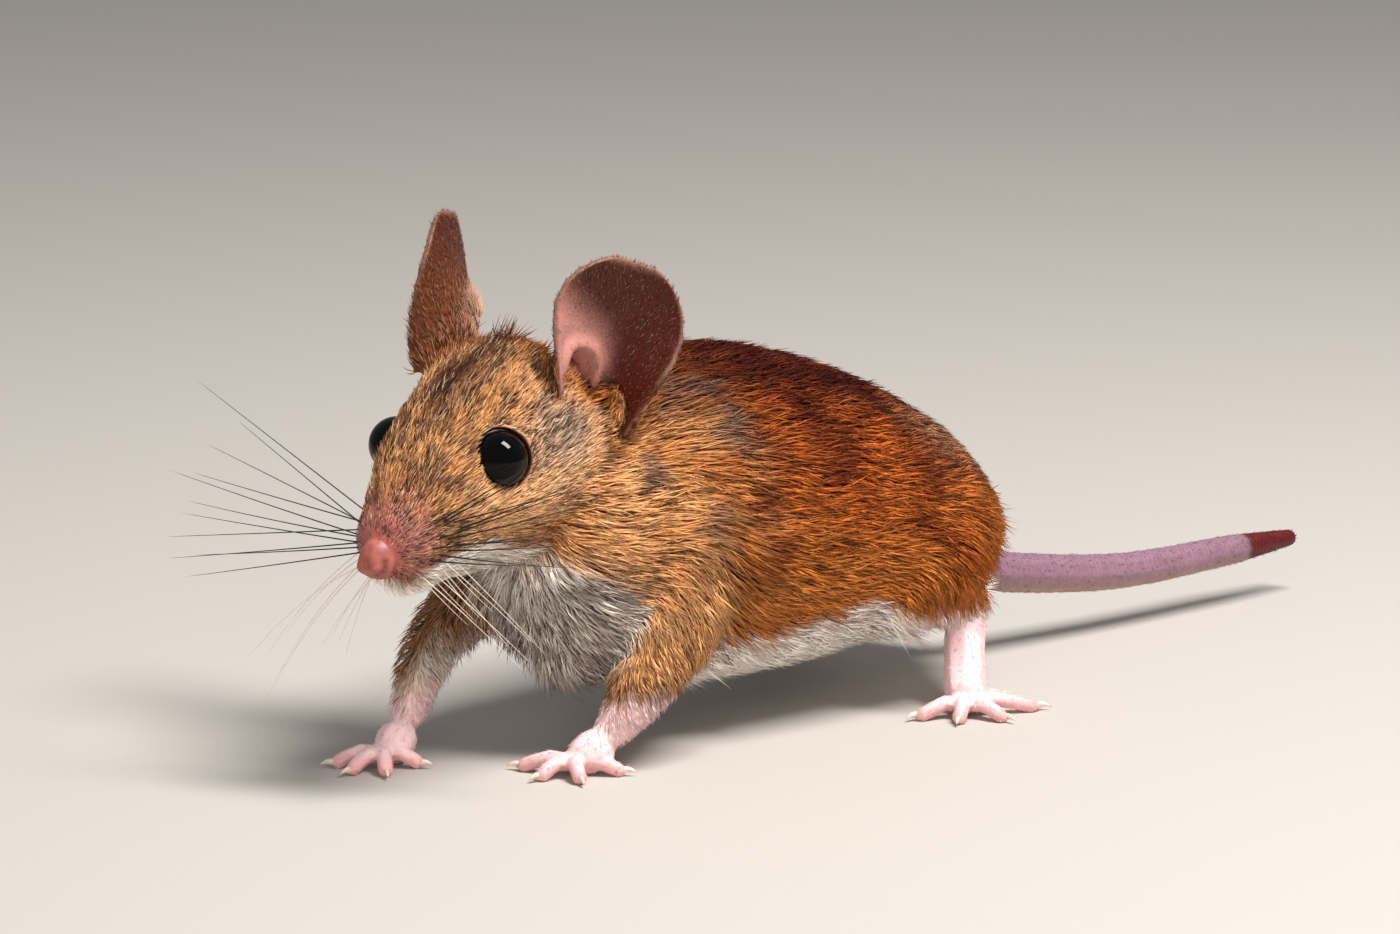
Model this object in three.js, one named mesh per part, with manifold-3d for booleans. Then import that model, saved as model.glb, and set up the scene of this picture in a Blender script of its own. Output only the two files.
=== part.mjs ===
// A wood mouse at life size, standing on its four feet with its head low and turned to its left.
// Millimetres. +Z is up, -X is ahead and -Y is the animal's left. The outline is that of the coat's tips.
import * as THREE from "three";
import { mergeVertices } from "three/addons/utils/BufferGeometryUtils.js";
import Module from "manifold-3d";

const wasm = await Module();
wasm.setup();

// ---- driving dimensions ----
const GAP = 0.3; // clearance between neighbouring pieces
const EYE_RADIUS = 2.75;
const EYE_SPACING = 12.0; // between the two eye centres
const EAR_LENGTH = 15.8;
const EAR_WIDTH = 14.8; // round the bend of the blade
const EAR_THICKNESS = 0.6;
const TAIL_ROOT_RADIUS = 2.1;
const TAIL_END_RADIUS = 1.1;
const TOE_RADIUS = 0.62;
const CLAW_LENGTH = 1.3;
const CLAW_RADIUS = 0.3;
const CLAW_HOOK = 0.35; // how far a claw's tip bends down
const CLAW_HEIGHT = 0.8; // its root above the floor
const BIG = 200; // edge of the blocks that cut half spaces away

// Facets round each loft and along it.
const TRUNK_FACETS = { around: 24, rows: 20 };
const HEAD_FACETS = { around: 22, rows: 18 };
const UPPER_LEG_FACETS = { around: 12, rows: 8 };
const LOWER_LEG_FACETS = { around: 10, rows: 7 };
const PALM_FACETS = { around: 8, rows: 6 };
const TOE_FACETS = { around: 6, rows: 5 };
const CLAW_FACETS = { around: 5, rows: 4, round: 0.6 };
const TAIL_FACETS = { around: 8, rows: 24 };

// ---- the head's own frame: origin midway between the eyes ----
const HEAD_ORIGIN = new THREE.Vector3(-37.7, -3, 31.9);
const HEAD_YAW = THREE.MathUtils.degToRad(16); // turned to the left
const HEAD_PITCH = THREE.MathUtils.degToRad(15); // nose down
const headFrame = new THREE.Matrix4()
  .makeTranslation(HEAD_ORIGIN)
  .multiply(new THREE.Matrix4().makeRotationZ(Math.PI + HEAD_YAW))
  .multiply(new THREE.Matrix4().makeRotationY(HEAD_PITCH));

// A point of the head's frame: ahead to the nose, to the animal's left, and up.
function inHead(ahead, left, up) {
  return new THREE.Vector3(ahead, left, up).applyMatrix4(headFrame);
}

// ---- materials ----
function finish(color, roughness) {
  return new THREE.MeshStandardMaterial({ color, roughness, metalness: 0 });
}

const TAWNY = finish(0xa0622f, 0.9);
const EAR_SKIN = finish(0x6b4436, 0.8);
const PINK_SKIN = finish(0xe3aaa2, 0.55);
const TAIL_SKIN = finish(0xd9a9b0, 0.55);
const RAW_TIP = finish(0x8e1f22, 0.5);
const EYE_BLACK = finish(0x080607, 0.08);
const HORN = finish(0xe8dccb, 0.4);

// ---- solids ----
// The closed solid of a geometry.
function solidOf(geometry) {
  const bare = new THREE.BufferGeometry()
    .setAttribute("position", geometry.getAttribute("position").clone())
    .setIndex(geometry.index);
  const merged = mergeVertices(bare, 1e-4);
  return new wasm.Manifold(
    new wasm.Mesh({
      numProp: 3,
      vertProperties: new Float32Array(merged.attributes.position.array),
      triVerts: new Uint32Array(merged.index.array),
    }),
  );
}

// The geometry of a closed solid.
function geometryOf(solid) {
  const { numProp, vertProperties, triVerts } = solid.getMesh();
  const stored = new THREE.InterleavedBuffer(vertProperties, numProp);
  const geometry = new THREE.BufferGeometry()
    .setAttribute("position", new THREE.InterleavedBufferAttribute(stored, 3, 0))
    .setIndex(new THREE.BufferAttribute(triVerts, 1))
    .toNonIndexed();
  geometry.computeVertexNormals();
  return geometry;
}

function joined(solids) {
  return solids.reduce((all, next) => all.add(next));
}

// Everything on the side of a plane that its normal points to, as a large block.
function halfSpace(point, normal) {
  const block = new THREE.BoxGeometry(BIG, BIG, BIG).translate(0, 0, BIG / 2);
  const up = new THREE.Vector3(0, 0, 1);
  const turn = new THREE.Quaternion().setFromUnitVectors(up, normal.clone().normalize());
  block.applyQuaternion(turn).translate(point.x, point.y, point.z);
  return solidOf(block);
}

// Parts a solid with a cut of width GAP through point: [the side that normal points to, the other side].
function parted(solid, point, normal) {
  const unit = normal.clone().normalize();
  const before = point.clone().addScaledVector(unit, GAP / 2);
  const behind = point.clone().addScaledVector(unit, -GAP / 2);
  const front = solid.intersect(halfSpace(before, unit));
  const back = solid.intersect(halfSpace(behind, unit.clone().negate()));
  return [front, back];
}

// ---- lofts ----
const ALONG_ENDS = 0.65; // how strongly a loft's rings crowd towards its ends

// A loft with round ends. Each station is { at: centre, wide, rise, drop }: half its width, and its
// height above and below its centre. The rows of a sphere become the rings, so that both ends close
// in a pole. grow makes the same loft larger on every side, and flat under 1 squares its section.
function loft(stations, { around, rows, grow = 0, round = 1, flat = 1 }) {
  const centres = new THREE.CatmullRomCurve3(stations.map((s) => s.at), false, "centripetal");
  const sizes = new THREE.CatmullRomCurve3(stations.map((s) => new THREE.Vector3(s.wide, s.rise, s.drop)));
  sizes.curveType = "catmullrom";
  const length = centres.getLength() + 2 * grow;
  const ball = new THREE.SphereGeometry(1, around, rows);
  const place = ball.getAttribute("position");
  const Z = new THREE.Vector3(0, 0, 1);
  for (let i = 0; i < place.count; i++) {
    const row = Math.floor(i / (around + 1));
    const angle = (2 * Math.PI * (i % (around + 1))) / around;
    const even = row / rows;
    const share = THREE.MathUtils.lerp(even, (1 - Math.cos(Math.PI * even)) / 2, ALONG_ENDS);
    const t = centres.getUtoTmapping(share);
    const size = sizes.getPoint(t);
    const tangent = centres.getTangent(t);
    const across = new THREE.Vector3().crossVectors(Z, tangent).normalize();
    const up = new THREE.Vector3().crossVectors(tangent, across);
    const cap = (round * (size.x + size.y + size.z)) / 3;
    const fromEnd = Math.min(share, 1 - share) * length;
    const closing = fromEnd >= cap ? 1 : Math.sqrt(1 - (1 - fromEnd / cap) ** 2);
    const side = Math.sign(Math.cos(angle)) * Math.abs(Math.cos(angle)) ** flat;
    const lift = Math.sign(Math.sin(angle)) * Math.abs(Math.sin(angle)) ** flat;
    const height = lift > 0 ? size.y : size.z;
    const point = centres
      .getPoint(t)
      .addScaledVector(tangent, grow * (2 * share - 1))
      .addScaledVector(across, side * (size.x + grow) * closing)
      .addScaledVector(up, lift * (height + grow) * closing);
    place.setXYZ(i, point.x, point.y, point.z);
  }
  const solid = solidOf(ball);
  return solid.volume() > 0 ? solid : solidOf(turnedOut(ball));
}

// The same geometry with its faces turned round.
function turnedOut(geometry) {
  const corners = geometry.index.array;
  for (let i = 0; i < corners.length; i += 3) {
    [corners[i + 1], corners[i + 2]] = [corners[i + 2], corners[i + 1]];
  }
  return geometry;
}

// A round limb along points, each [x, y, z, radius].
function limb(points, { around, rows, grow = 0, round = 1 }) {
  const stations = points.map(([x, y, z, r]) => {
    return { at: new THREE.Vector3(x, y, z), wide: r, rise: r, drop: r };
  });
  return loft(stations, { around, rows, grow, round });
}

// ---- trunk and neck ----
// From the rump to the root of the neck: [x, y, top, bottom, half width].
const TRUNK = {
  rumpEnd: [32.5, 0.2, 15, 8.5, 4.5],
  rump: [29, 0.3, 20.6, 6.6, 10],
  haunch: [22, 0.4, 27.4, 5.4, 13.8],
  loin: [11, 0.2, 33.6, 4.4, 15],
  ribs: [0, -0.4, 37.4, 4, 14.6],
  withers: [-10, -0.8, 39.2, 4.6, 13],
  shoulders: [-18, -1.2, 39.4, 6, 11.4],
  nape: [-24.5, -1.6, 38.6, 8.6, 9.6],
  breast: [-30.5, -2.4, 34, 13.5, 6.4],
};

function trunkSolid(grow = 0) {
  const stations = Object.values(TRUNK).map(([x, y, top, bottom, wide]) => {
    const middle = (top + bottom) / 2;
    return { at: new THREE.Vector3(x, y, middle), wide, rise: top - middle, drop: middle - bottom };
  });
  return loft(stations, { ...TRUNK_FACETS, grow, round: 0.5, flat: 0.92 });
}

// ---- head ----
// From the nape to the nose pad, in the head's frame: [ahead, top, bottom, half width].
const HEAD = {
  nape: [-16, 6.2, -11, 7.4],
  crown: [-11.5, 7.4, -12.6, 9.2],
  ears: [-7, 7.2, -12.8, 9.5],
  cheeks: [-2.5, 6.2, -12.2, 8.9],
  eyes: [1.5, 4.6, -11.4, 7.3],
  bridge: [6, 2.0, -10.6, 5.5],
  muzzle: [10, -0.8, -9.9, 4.3],
  lips: [12.7, -2.8, -9, 3.1],
};
const NOSE_TIP = [14.5, -5.2]; // ahead and up
const NOSE_RADIUS = 1.75;

function headSolid(grow = 0) {
  const stations = Object.values(HEAD).map(([ahead, top, bottom, wide]) => {
    const middle = (top + bottom) / 2;
    return { at: inHead(ahead, 0, middle), wide, rise: top - middle, drop: middle - bottom };
  });
  return loft(stations, { ...HEAD_FACETS, grow, round: 0.45 });
}

function noseSolid() {
  const [ahead, up] = NOSE_TIP;
  const from = inHead(ahead - 4.2, 0, up + 0.5);
  const to = inHead(ahead, 0, up);
  return limb([[...from, NOSE_RADIUS * 1.15], [...to, NOSE_RADIUS]], UPPER_LEG_FACETS);
}

// ---- ears ----
// Each ear's root in the head's frame, its lean outward from upright, and how far its opening is
// turned outward from straight ahead. The left ear is held lower and more open than the right one.
const EARS = {
  left: { side: 1, ahead: -12.8, out: 5.8, up: -0.6, lean: 22, turn: 47 },
  right: { side: -1, ahead: -12.8, out: 5.6, up: 2.2, lean: 20, turn: 58 },
};
const EAR_BACK = THREE.MathUtils.degToRad(24); // backward from the head's own upright
const EAR_CURL_ROOT = THREE.MathUtils.degToRad(112); // half the arc that the blade bends through
const EAR_CURL_TIP = THREE.MathUtils.degToRad(22);
const EAR_WIDEST = 0.55; // height share of the blade's widest place
const EAR_ROOT_SHARE = 0.95; // the blade's width at its root, as a share of its widest
const EAR_SLICES = 11;
const EAR_STACKS = 9;

// Half the blade's width at height share h: widest above the middle and round on top.
function earHalfWidth(h) {
  const dome = Math.sqrt(Math.max(0, 1 - ((h - EAR_WIDEST) / (1 - EAR_WIDEST)) ** 2));
  const stem = THREE.MathUtils.lerp(EAR_ROOT_SHARE, 1, THREE.MathUtils.smoothstep(h, 0, EAR_WIDEST));
  return (EAR_WIDTH / 2) * (h > EAR_WIDEST ? dome : stem);
}

// One ear as a curled blade of even thickness, opening along its frame's first axis.
function earSolid({ side, ahead, out, up, lean, turn }) {
  const blade = new THREE.BoxGeometry(2, 1, 2, EAR_SLICES, 1, EAR_STACKS); // width, thickness, height
  const place = blade.getAttribute("position");
  const frame = new THREE.Matrix4()
    .makeTranslation(ahead, side * out, up)
    .multiply(new THREE.Matrix4().makeRotationX(-side * THREE.MathUtils.degToRad(lean)))
    .multiply(new THREE.Matrix4().makeRotationY(-EAR_BACK))
    .multiply(new THREE.Matrix4().makeRotationZ(side * THREE.MathUtils.degToRad(turn)));
  for (let i = 0; i < place.count; i++) {
    const shell = place.getY(i) > 0 ? 0 : EAR_THICKNESS;
    const even = (place.getZ(i) + 1) / 2;
    const h = 0.985 * Math.sin((Math.PI / 2) * even);
    const opened = THREE.MathUtils.smoothstep(h, 0, 0.85);
    const curl = THREE.MathUtils.lerp(EAR_CURL_ROOT, EAR_CURL_TIP, opened);
    const bend = earHalfWidth(h) / curl;
    const angle = place.getX(i) * curl;
    const r = bend + shell;
    const point = new THREE.Vector3(bend - r * Math.cos(angle), r * Math.sin(angle), h * EAR_LENGTH)
      .applyMatrix4(frame)
      .applyMatrix4(headFrame);
    place.setXYZ(i, point.x, point.y, point.z);
  }
  const solid = solidOf(blade);
  return solid.volume() > 0 ? solid : solidOf(turnedOut(blade));
}

// ---- legs and feet ----
// Each point is [x, y, z, radius]. The paw's own points follow: wrist, palm, and each toe's tip.
const FORELEGS = {
  left: {
    upper: [[-11.5, -6, 26.5, 5], [-14.5, -8.4, 18, 5.8], [-18.4, -11.2, 7.8, 4.6]],
    lower: [[-16.6, -10.6, 12.4, 4.2], [-20.3, -11.2, 8.4, 3.5], [-23.3, -10.6, 4.5, 2.3], [-24.8, -10.2, 2.4, 2]],
    palm: [[-24.2, -10.4, 3.4, 1.9], [-26.2, -10, 1.9, 1.9], [-28.2, -9.6, 0.9, 1.7]],
    toes: [[-31.2, -4.9], [-32.4, -9.6], [-30, -13.4], [-24.4, -13.4]],
  },
  right: {
    upper: [[-14, 5.6, 26, 4.8], [-22.5, 7, 18.4, 5], [-31, 8, 10.6, 3.3]],
    lower: [[-26.5, 7.6, 15, 3.7], [-32.4, 7.3, 10, 2.8], [-36, 5.7, 5, 2], [-37.3, 5.2, 2.8, 1.8]],
    palm: [[-36.8, 5.4, 3.6, 1.8], [-38.4, 5, 1.9, 1.85], [-40.2, 4.6, 0.9, 1.6]],
    toes: [[-44.4, 7.4], [-45, 3.8], [-42.6, 0.7], [-37.6, 1.4]],
  },
};
const HIND_LEGS = {
  left: {
    upper: [[25.5, -6.6, 20.5, 6.4], [18.5, -8.8, 16, 7.2], [9.5, -11.4, 10.6, 5]],
    lower: [[10.5, -10.8, 13.6, 5], [17, -10.8, 12, 4.4], [25.4, -9.4, 9.6, 2.6]],
    palm: [[23, -9.8, 10, 2], [19.6, -13.2, 5.6, 1.9], [17.4, -15.8, 2.2, 2], [16.2, -17.1, 0.9, 1.7]],
    toes: [[10.8, -15.6], [13, -19.6], [17.4, -22], [23.4, -20.6], [23.6, -15]],
  },
  right: {
    upper: [[24.5, 7.4, 20.5, 6.4], [17.5, 9.6, 16, 7.2], [8.5, 12.2, 10.6, 5]],
    lower: [[9.5, 11.6, 13.6, 5], [16, 11.6, 12, 4.4], [24.4, 10.2, 9.6, 2.6]],
    palm: [[22, 10.6, 10, 2], [18.4, 13.4, 5.6, 1.9], [15.4, 15.4, 2.2, 2], [14, 16.4, 0.9, 1.7]],
    toes: [[8.2, 14.2], [9.2, 18.6], [12.8, 21.6], [18, 21.2], [21, 16.8]],
  },
};
const TOE_ARCH = 1.5; // height of a toe's middle joint

// The middle line of a toe from the palm's end to its tip: [x, y, z, radius].
function toeLine(palm, [tipX, tipY]) {
  const [x, y, z] = palm.at(-1);
  const at = (share, height, radius) => [x + (tipX - x) * share, y + (tipY - y) * share, height, radius];
  return [
    at(0.05, z + 0.3, TOE_RADIUS * 1.3),
    at(0.45, TOE_ARCH, TOE_RADIUS * 1.05),
    at(0.82, TOE_RADIUS, TOE_RADIUS * 0.95),
    at(1, TOE_RADIUS * 0.6, TOE_RADIUS),
  ];
}

function footSolid({ palm, toes }) {
  const digits = toes.map((tip) => limb(toeLine(palm, tip), TOE_FACETS));
  const aboveFloor = halfSpace(new THREE.Vector3(0, 0, 0), new THREE.Vector3(0, 0, 1));
  return joined([limb(palm, PALM_FACETS), ...digits]).intersect(aboveFloor);
}

// A claw as a short bent cone that starts a gap beyond the toe's tip.
function clawMesh(name, palm, tip) {
  const [[x0, y0], [x1, y1]] = toeLine(palm, tip).slice(-2);
  const heading = Math.atan2(y1 - y0, x1 - x0);
  const stations = [[0, 1], [0.45, 0.95], [1, 0.5]].map(([share, thickness]) => {
    return [share * CLAW_LENGTH, 0, -CLAW_HOOK * share ** 2, CLAW_RADIUS * thickness];
  });
  const claw = new THREE.Mesh(geometryOf(limb(stations, CLAW_FACETS)), HORN);
  claw.name = name;
  claw.position.set(x1 + GAP * Math.cos(heading), y1 + GAP * Math.sin(heading), CLAW_HEIGHT);
  claw.rotation.z = heading;
  return claw;
}

// ---- tail ----
const TAIL = {
  root: [28, 0.2, 10.6],
  rise: [38, 0.1, 8.4],
  middle: [54, 0, 6.2],
  far: [70, 0.2, 6.0],
  tip: [81, 0.4, 6.0],
};
const TAIL_TIP_START = 72.5; // where the raw end begins
const TAIL_HALF = 52; // where the tail is divided

function tailSolid() {
  const { root, rise, middle, far, tip } = TAIL;
  const neck = [TAIL_TIP_START, 0.2, 6.0];
  return limb(
    [
      [...root, TAIL_ROOT_RADIUS * 1.1],
      [...rise, TAIL_ROOT_RADIUS],
      [...middle, TAIL_ROOT_RADIUS * 0.9],
      [...far, TAIL_ROOT_RADIUS * 0.78],
      [...neck, TAIL_END_RADIUS * 1.35],
      [...tip, TAIL_END_RADIUS * 0.7],
    ],
    TAIL_FACETS,
  );
}

// ---- the whole animal, then its pieces ----
const model = new THREE.Group();
const meshes = [];

function piece(name, solid, material) {
  const mesh = new THREE.Mesh(geometryOf(solid), material);
  mesh.name = name;
  meshes.push(mesh);
  return mesh;
}

// A leg from the shoulder or hip to the wrist or heel.
function legSolid({ upper, lower }, grow = 0) {
  return limb(upper, { ...UPPER_LEG_FACETS, grow }).add(limb(lower, { ...LOWER_LEG_FACETS, grow }));
}

// The head ends at the nape. The neck and trunk are one form behind it, parted at the shoulders.
const NAPE_CUT = inHead(-13, 0, 0);
const AHEAD = inHead(1, 0, 0).sub(inHead(0, 0, 0));
const SHOULDER_CUT = new THREE.Vector3(-19.5, -1, 30);
const NECKWARD = new THREE.Vector3(-0.9, -0.25, 0.32);
const wholeHead = headSolid().add(noseSolid());
const behindNape = NAPE_CUT.clone().addScaledVector(AHEAD, -GAP / 2);
const headRoom = headSolid(GAP).intersect(halfSpace(behindNape, AHEAD));
let head = parted(wholeHead, NAPE_CUT, AHEAD)[0];
let body = trunkSolid().add(headSolid()).subtract(headRoom);

// The legs sit in hollows of the body, which are wider than they are by the gap.
const sides = ["left", "right"];
const legs = {};
for (const side of sides) {
  for (const [limbName, plan] of [["fore", FORELEGS[side]], ["hind", HIND_LEGS[side]]]) {
    legs[`${limbName}_${side}`] = legSolid(plan);
    body = body.subtract(legSolid(plan, GAP)).subtract(limb(plan.palm, { ...PALM_FACETS, grow: GAP }));
  }
}

// Eyes in round sockets, and ears that stand on the head.
function eyeBall(side, grow) {
  const at = inHead(0, (side * EYE_SPACING) / 2, 0);
  return new THREE.SphereGeometry(EYE_RADIUS + grow, 16, 10).translate(at.x, at.y, at.z);
}
const earRoom = joined([headSolid(GAP), trunkSolid(GAP)]);
for (const [name, ear] of Object.entries(EARS)) {
  head = head.subtract(solidOf(eyeBall(ear.side, GAP)));
  const eye = new THREE.Mesh(eyeBall(ear.side, 0), EYE_BLACK);
  eye.name = `eye_${name}`;
  meshes.push(eye);
  piece(`ear_${name}`, earSolid(ear).subtract(earRoom), EAR_SKIN);
}

const [neck, trunk] = parted(body, SHOULDER_CUT, NECKWARD);
piece("head", head, TAWNY);
piece("neck", neck, TAWNY);
piece("trunk", trunk, TAWNY);

// Each foot sits in a hollow of its leg.
for (const side of sides) {
  for (const [limbName, plan] of [["fore", FORELEGS[side]], ["hind", HIND_LEGS[side]]]) {
    const socket = limb(plan.palm, { ...PALM_FACETS, grow: GAP });
    piece(`${limbName}leg_${side}`, legs[`${limbName}_${side}`].subtract(socket), TAWNY);
    piece(`${limbName}foot_${side}`, footSolid(plan), PINK_SKIN);
    plan.toes.forEach((tip, i) => meshes.push(clawMesh(`claw_${limbName}_${side}_${i + 1}`, plan.palm, tip)));
  }
}

// The tail in two lengths and its raw end.
const X = new THREE.Vector3(1, 0, 0);
const tail = tailSolid().subtract(trunkSolid(GAP));
const [tailOuter, tailRoot] = parted(tail, new THREE.Vector3(TAIL_HALF, 0, 0), X);
const [tailTip, tailEnd] = parted(tailOuter, new THREE.Vector3(TAIL_TIP_START, 0, 0), X);
piece("tail_root", tailRoot, TAIL_SKIN);
piece("tail_end", tailEnd, TAIL_SKIN);
piece("tail_tip", tailTip, RAW_TIP);

// The frame's origin is the middle of the underside of the bounding box.
model.add(...meshes);
const box = new THREE.Box3().setFromObject(model);
const middle = box.getCenter(new THREE.Vector3());
model.position.set(-middle.x, -middle.y, -box.min.z);

export default model;
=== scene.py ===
# %% [markdown]
# # A wood mouse at life size
# A wood mouse is a small body in a deep soft coat. Only the nose, the ears, the paws and the tail are bare.
# Such an animal could be carved as one smooth lump with a pattern of hair on it, but its outline would look
# like clay. Here the flesh is one skin, and the coat is tens of thousands of solid hairs that stand on it
# and follow the lie of the fur. All sizes are in millimetres until a mesh is written.

# %% The frame
import math

import bpy
import numpy as np
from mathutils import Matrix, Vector


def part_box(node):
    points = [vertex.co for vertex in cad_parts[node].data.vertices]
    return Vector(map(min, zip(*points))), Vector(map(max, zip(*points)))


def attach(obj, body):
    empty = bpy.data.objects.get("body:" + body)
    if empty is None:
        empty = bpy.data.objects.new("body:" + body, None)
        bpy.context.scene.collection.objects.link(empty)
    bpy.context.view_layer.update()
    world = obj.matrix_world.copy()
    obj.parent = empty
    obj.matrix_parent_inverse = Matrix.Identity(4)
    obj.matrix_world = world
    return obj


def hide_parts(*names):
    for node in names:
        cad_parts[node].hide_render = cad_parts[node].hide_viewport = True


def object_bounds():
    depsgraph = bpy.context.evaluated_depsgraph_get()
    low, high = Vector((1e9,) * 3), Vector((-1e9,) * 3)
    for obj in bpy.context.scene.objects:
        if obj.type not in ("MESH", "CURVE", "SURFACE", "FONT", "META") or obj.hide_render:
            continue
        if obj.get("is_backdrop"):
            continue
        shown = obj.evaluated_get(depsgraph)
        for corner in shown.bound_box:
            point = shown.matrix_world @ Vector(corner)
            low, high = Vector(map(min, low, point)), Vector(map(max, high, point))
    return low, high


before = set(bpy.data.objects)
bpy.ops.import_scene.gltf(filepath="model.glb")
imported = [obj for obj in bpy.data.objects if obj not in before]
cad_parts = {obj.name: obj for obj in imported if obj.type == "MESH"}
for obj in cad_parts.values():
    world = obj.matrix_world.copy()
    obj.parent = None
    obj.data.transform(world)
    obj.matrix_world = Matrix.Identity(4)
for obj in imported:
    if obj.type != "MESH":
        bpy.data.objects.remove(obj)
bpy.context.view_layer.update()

MM = 0.001  # a millimetre in the frame's metres


# %% [markdown]
# ## Steps, bells and ripples
# Fur has soft borders, so nearly every shape and marking below is a smooth step or a bell. Ripples roughen
# those borders. They are sums of waves with a fixed seed, so every run gives the same animal.

# %% Four small tools
def unit(vectors):
    """Each vector divided by its own length."""
    vectors = np.asarray(vectors, float)
    return vectors / np.maximum(np.linalg.norm(vectors, axis=-1, keepdims=True), 1e-9)


def step(low, high, values):
    """0 at low, 1 at high and an S between them: 3t² - 2t³. Low may be the larger, for a falling step."""
    t = np.clip((np.asarray(values, float) - low) / (high - low), 0, 1)
    return t * t * (3 - 2 * t)


def bump(values, width):
    """A bell of height 1: e to the power of minus (value / width)²."""
    return np.exp(-((np.asarray(values, float) / width) ** 2))


def ripple(points, size, seed, waves=7):
    """Smooth values from -1 to 1: a sum of sines along random ways, about size mm from crest to crest."""
    rng = np.random.default_rng(seed)
    ways = unit(rng.normal(size=(waves, 3))) * rng.uniform(0.7, 1.5, (waves, 1)) * 2 * np.pi / size
    total = np.sin(points @ ways.T + rng.uniform(0, 2 * np.pi, waves)).sum(axis=1)
    return np.clip(total / math.sqrt(waves) * 0.9, -1, 1)


print("a step from 0 to 1, at 0.25, 0.5 and 0.75:", step(0, 1, [0.25, 0.5, 0.75]).round(2))


# %% [markdown]
# ## Landmarks
# An animal's markings could be placed by plain coordinates, but then a small change of pose would spoil them.
# A taxidermist measures from eye to nose instead, and so does this script. The eyes give the head's frame:
# ahead to the nose, to its left, and up. The trunk's own box gives the body's frame.

# %% Landmarks of the head
SIDES = {"left": 1, "right": -1}
HEAD_PITCH = math.radians(15)  # the nose points this far below level
DOWN = np.array([0.0, 0.0, -1.0])


def span(node):
    """A node's lowest and highest corners in millimetres."""
    low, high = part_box(node)
    return np.array(low) / MM, np.array(high) / MM


def middle(node):
    """The middle of a node's box: half the sum of its corners."""
    low, high = span(node)
    return (low + high) / 2


EYES = {side: middle(f"eye_{side}") for side in SIDES}
EYE_RADIUS = float(np.ptp(span("eye_left"), axis=0).max() / 2)
BROW = (EYES["left"] + EYES["right"]) / 2
LEFT = unit(EYES["left"] - EYES["right"])
LEVEL = np.cross(DOWN, LEFT)
AHEAD = math.cos(HEAD_PITCH) * LEVEL + math.sin(HEAD_PITCH) * DOWN
UP = np.cross(AHEAD, LEFT)


def from_head(ahead, left, up):
    """A place in the head's frame as a point of the model: the brow plus each number times its direction."""
    return BROW + np.multiply.outer(ahead, AHEAD) + np.multiply.outer(left, LEFT) + np.multiply.outer(up, UP)


def in_head(points):
    """Points as ahead, left and up of the brow: their dot products with the head's three directions."""
    return (points - BROW) @ np.stack([AHEAD, LEFT, UP], axis=1)


NOSE = from_head(13.2, 0, -5.2)
print("brow", BROW.round(1), "nose", NOSE.round(1), "eye radius", round(EYE_RADIUS, 2))

# %% [markdown]
# On the body a place is told by its angle round the trunk, from 0 at the spine to 180 under the belly. The
# middle line sinks towards the rump, as the animal's own does, so the angle means the same all along.

# %% Landmarks of the trunk
TRUNK_LOW, TRUNK_HIGH = span("trunk")
TRUNK_MIDDLE = (TRUNK_LOW[1] + TRUNK_HIGH[1]) / 2
AXIS_SHARES = [0, 0.2, 0.5, 0.85, 1]  # along the trunk, from the chest to the rump
AXIS_HEIGHTS = [23.8, 22.6, 20.6, 16.4, 11.8]  # of the body's middle line above the floor


def spine_angle(points):
    """Degrees from the spine, 0 on top and 180 below, about a middle line that sinks towards the rump."""
    along = (points[:, 0] - TRUNK_LOW[0]) / (TRUNK_HIGH[0] - TRUNK_LOW[0])
    height = points[:, 2] - np.interp(along, AXIS_SHARES, AXIS_HEIGHTS)
    return np.degrees(np.arctan2(np.abs(points[:, 1] - TRUNK_MIDDLE), height))


print("trunk", TRUNK_LOW.round(1), TRUNK_HIGH.round(1))


# %% [markdown]
# ## Meshes as arrays
# A skin of a hundred thousand points is too much for a plain loop. So meshes are read into arrays, worked
# on as whole arrays and written back in one go.

# %% Reading and writing meshes
def arrays(mesh, scale):
    """A mesh's corners, times scale, and its triangles."""
    mesh.calc_loop_triangles()
    points = np.empty(len(mesh.vertices) * 3, np.float32)
    mesh.vertices.foreach_get("co", points)
    triangles = np.empty(len(mesh.loop_triangles) * 3, np.int32)
    mesh.loop_triangles.foreach_get("vertices", triangles)
    return points.reshape(-1, 3).astype(float) * scale, triangles.reshape(-1, 3)


def welded(points, triangles, near=0.002):
    """The same surface with corners in the same cell of a grid, near mm wide, made one."""
    keys, which = np.unique(np.round(points / near).astype(np.int64), axis=0, return_inverse=True)
    return keys * near, which.reshape(-1)[triangles]


def normals_of(points, triangles):
    """Each corner's outward direction: the sum of its triangles' cross products, made unit."""
    a, b, c = (points[triangles[:, k]] for k in range(3))
    across = np.cross(b - a, c - a)
    total = np.zeros_like(points)
    for k in range(3):
        for axis in range(3):
            total[:, axis] += np.bincount(triangles[:, k], across[:, axis], len(points))
    return unit(total)


def new_mesh(name, points, triangles, scale=MM):
    """A smooth-shaded mesh object of triangles. Its points are in millimetres, and stored times scale."""
    mesh = bpy.data.meshes.new(name)
    mesh.vertices.add(len(points))
    mesh.vertices.foreach_set("co", (np.asarray(points) * scale).astype(np.float32).ravel())
    mesh.loops.add(triangles.size)
    mesh.loops.foreach_set("vertex_index", triangles.astype(np.int32).ravel())
    mesh.polygons.add(len(triangles))
    mesh.polygons.foreach_set("loop_start", np.arange(0, triangles.size, 3, dtype=np.int32))
    mesh.polygons.foreach_set("use_smooth", np.full(len(triangles), True))
    mesh.update(calc_edges=True)
    made = bpy.data.objects.new(name, mesh)
    bpy.context.scene.collection.objects.link(made)
    return made


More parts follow.
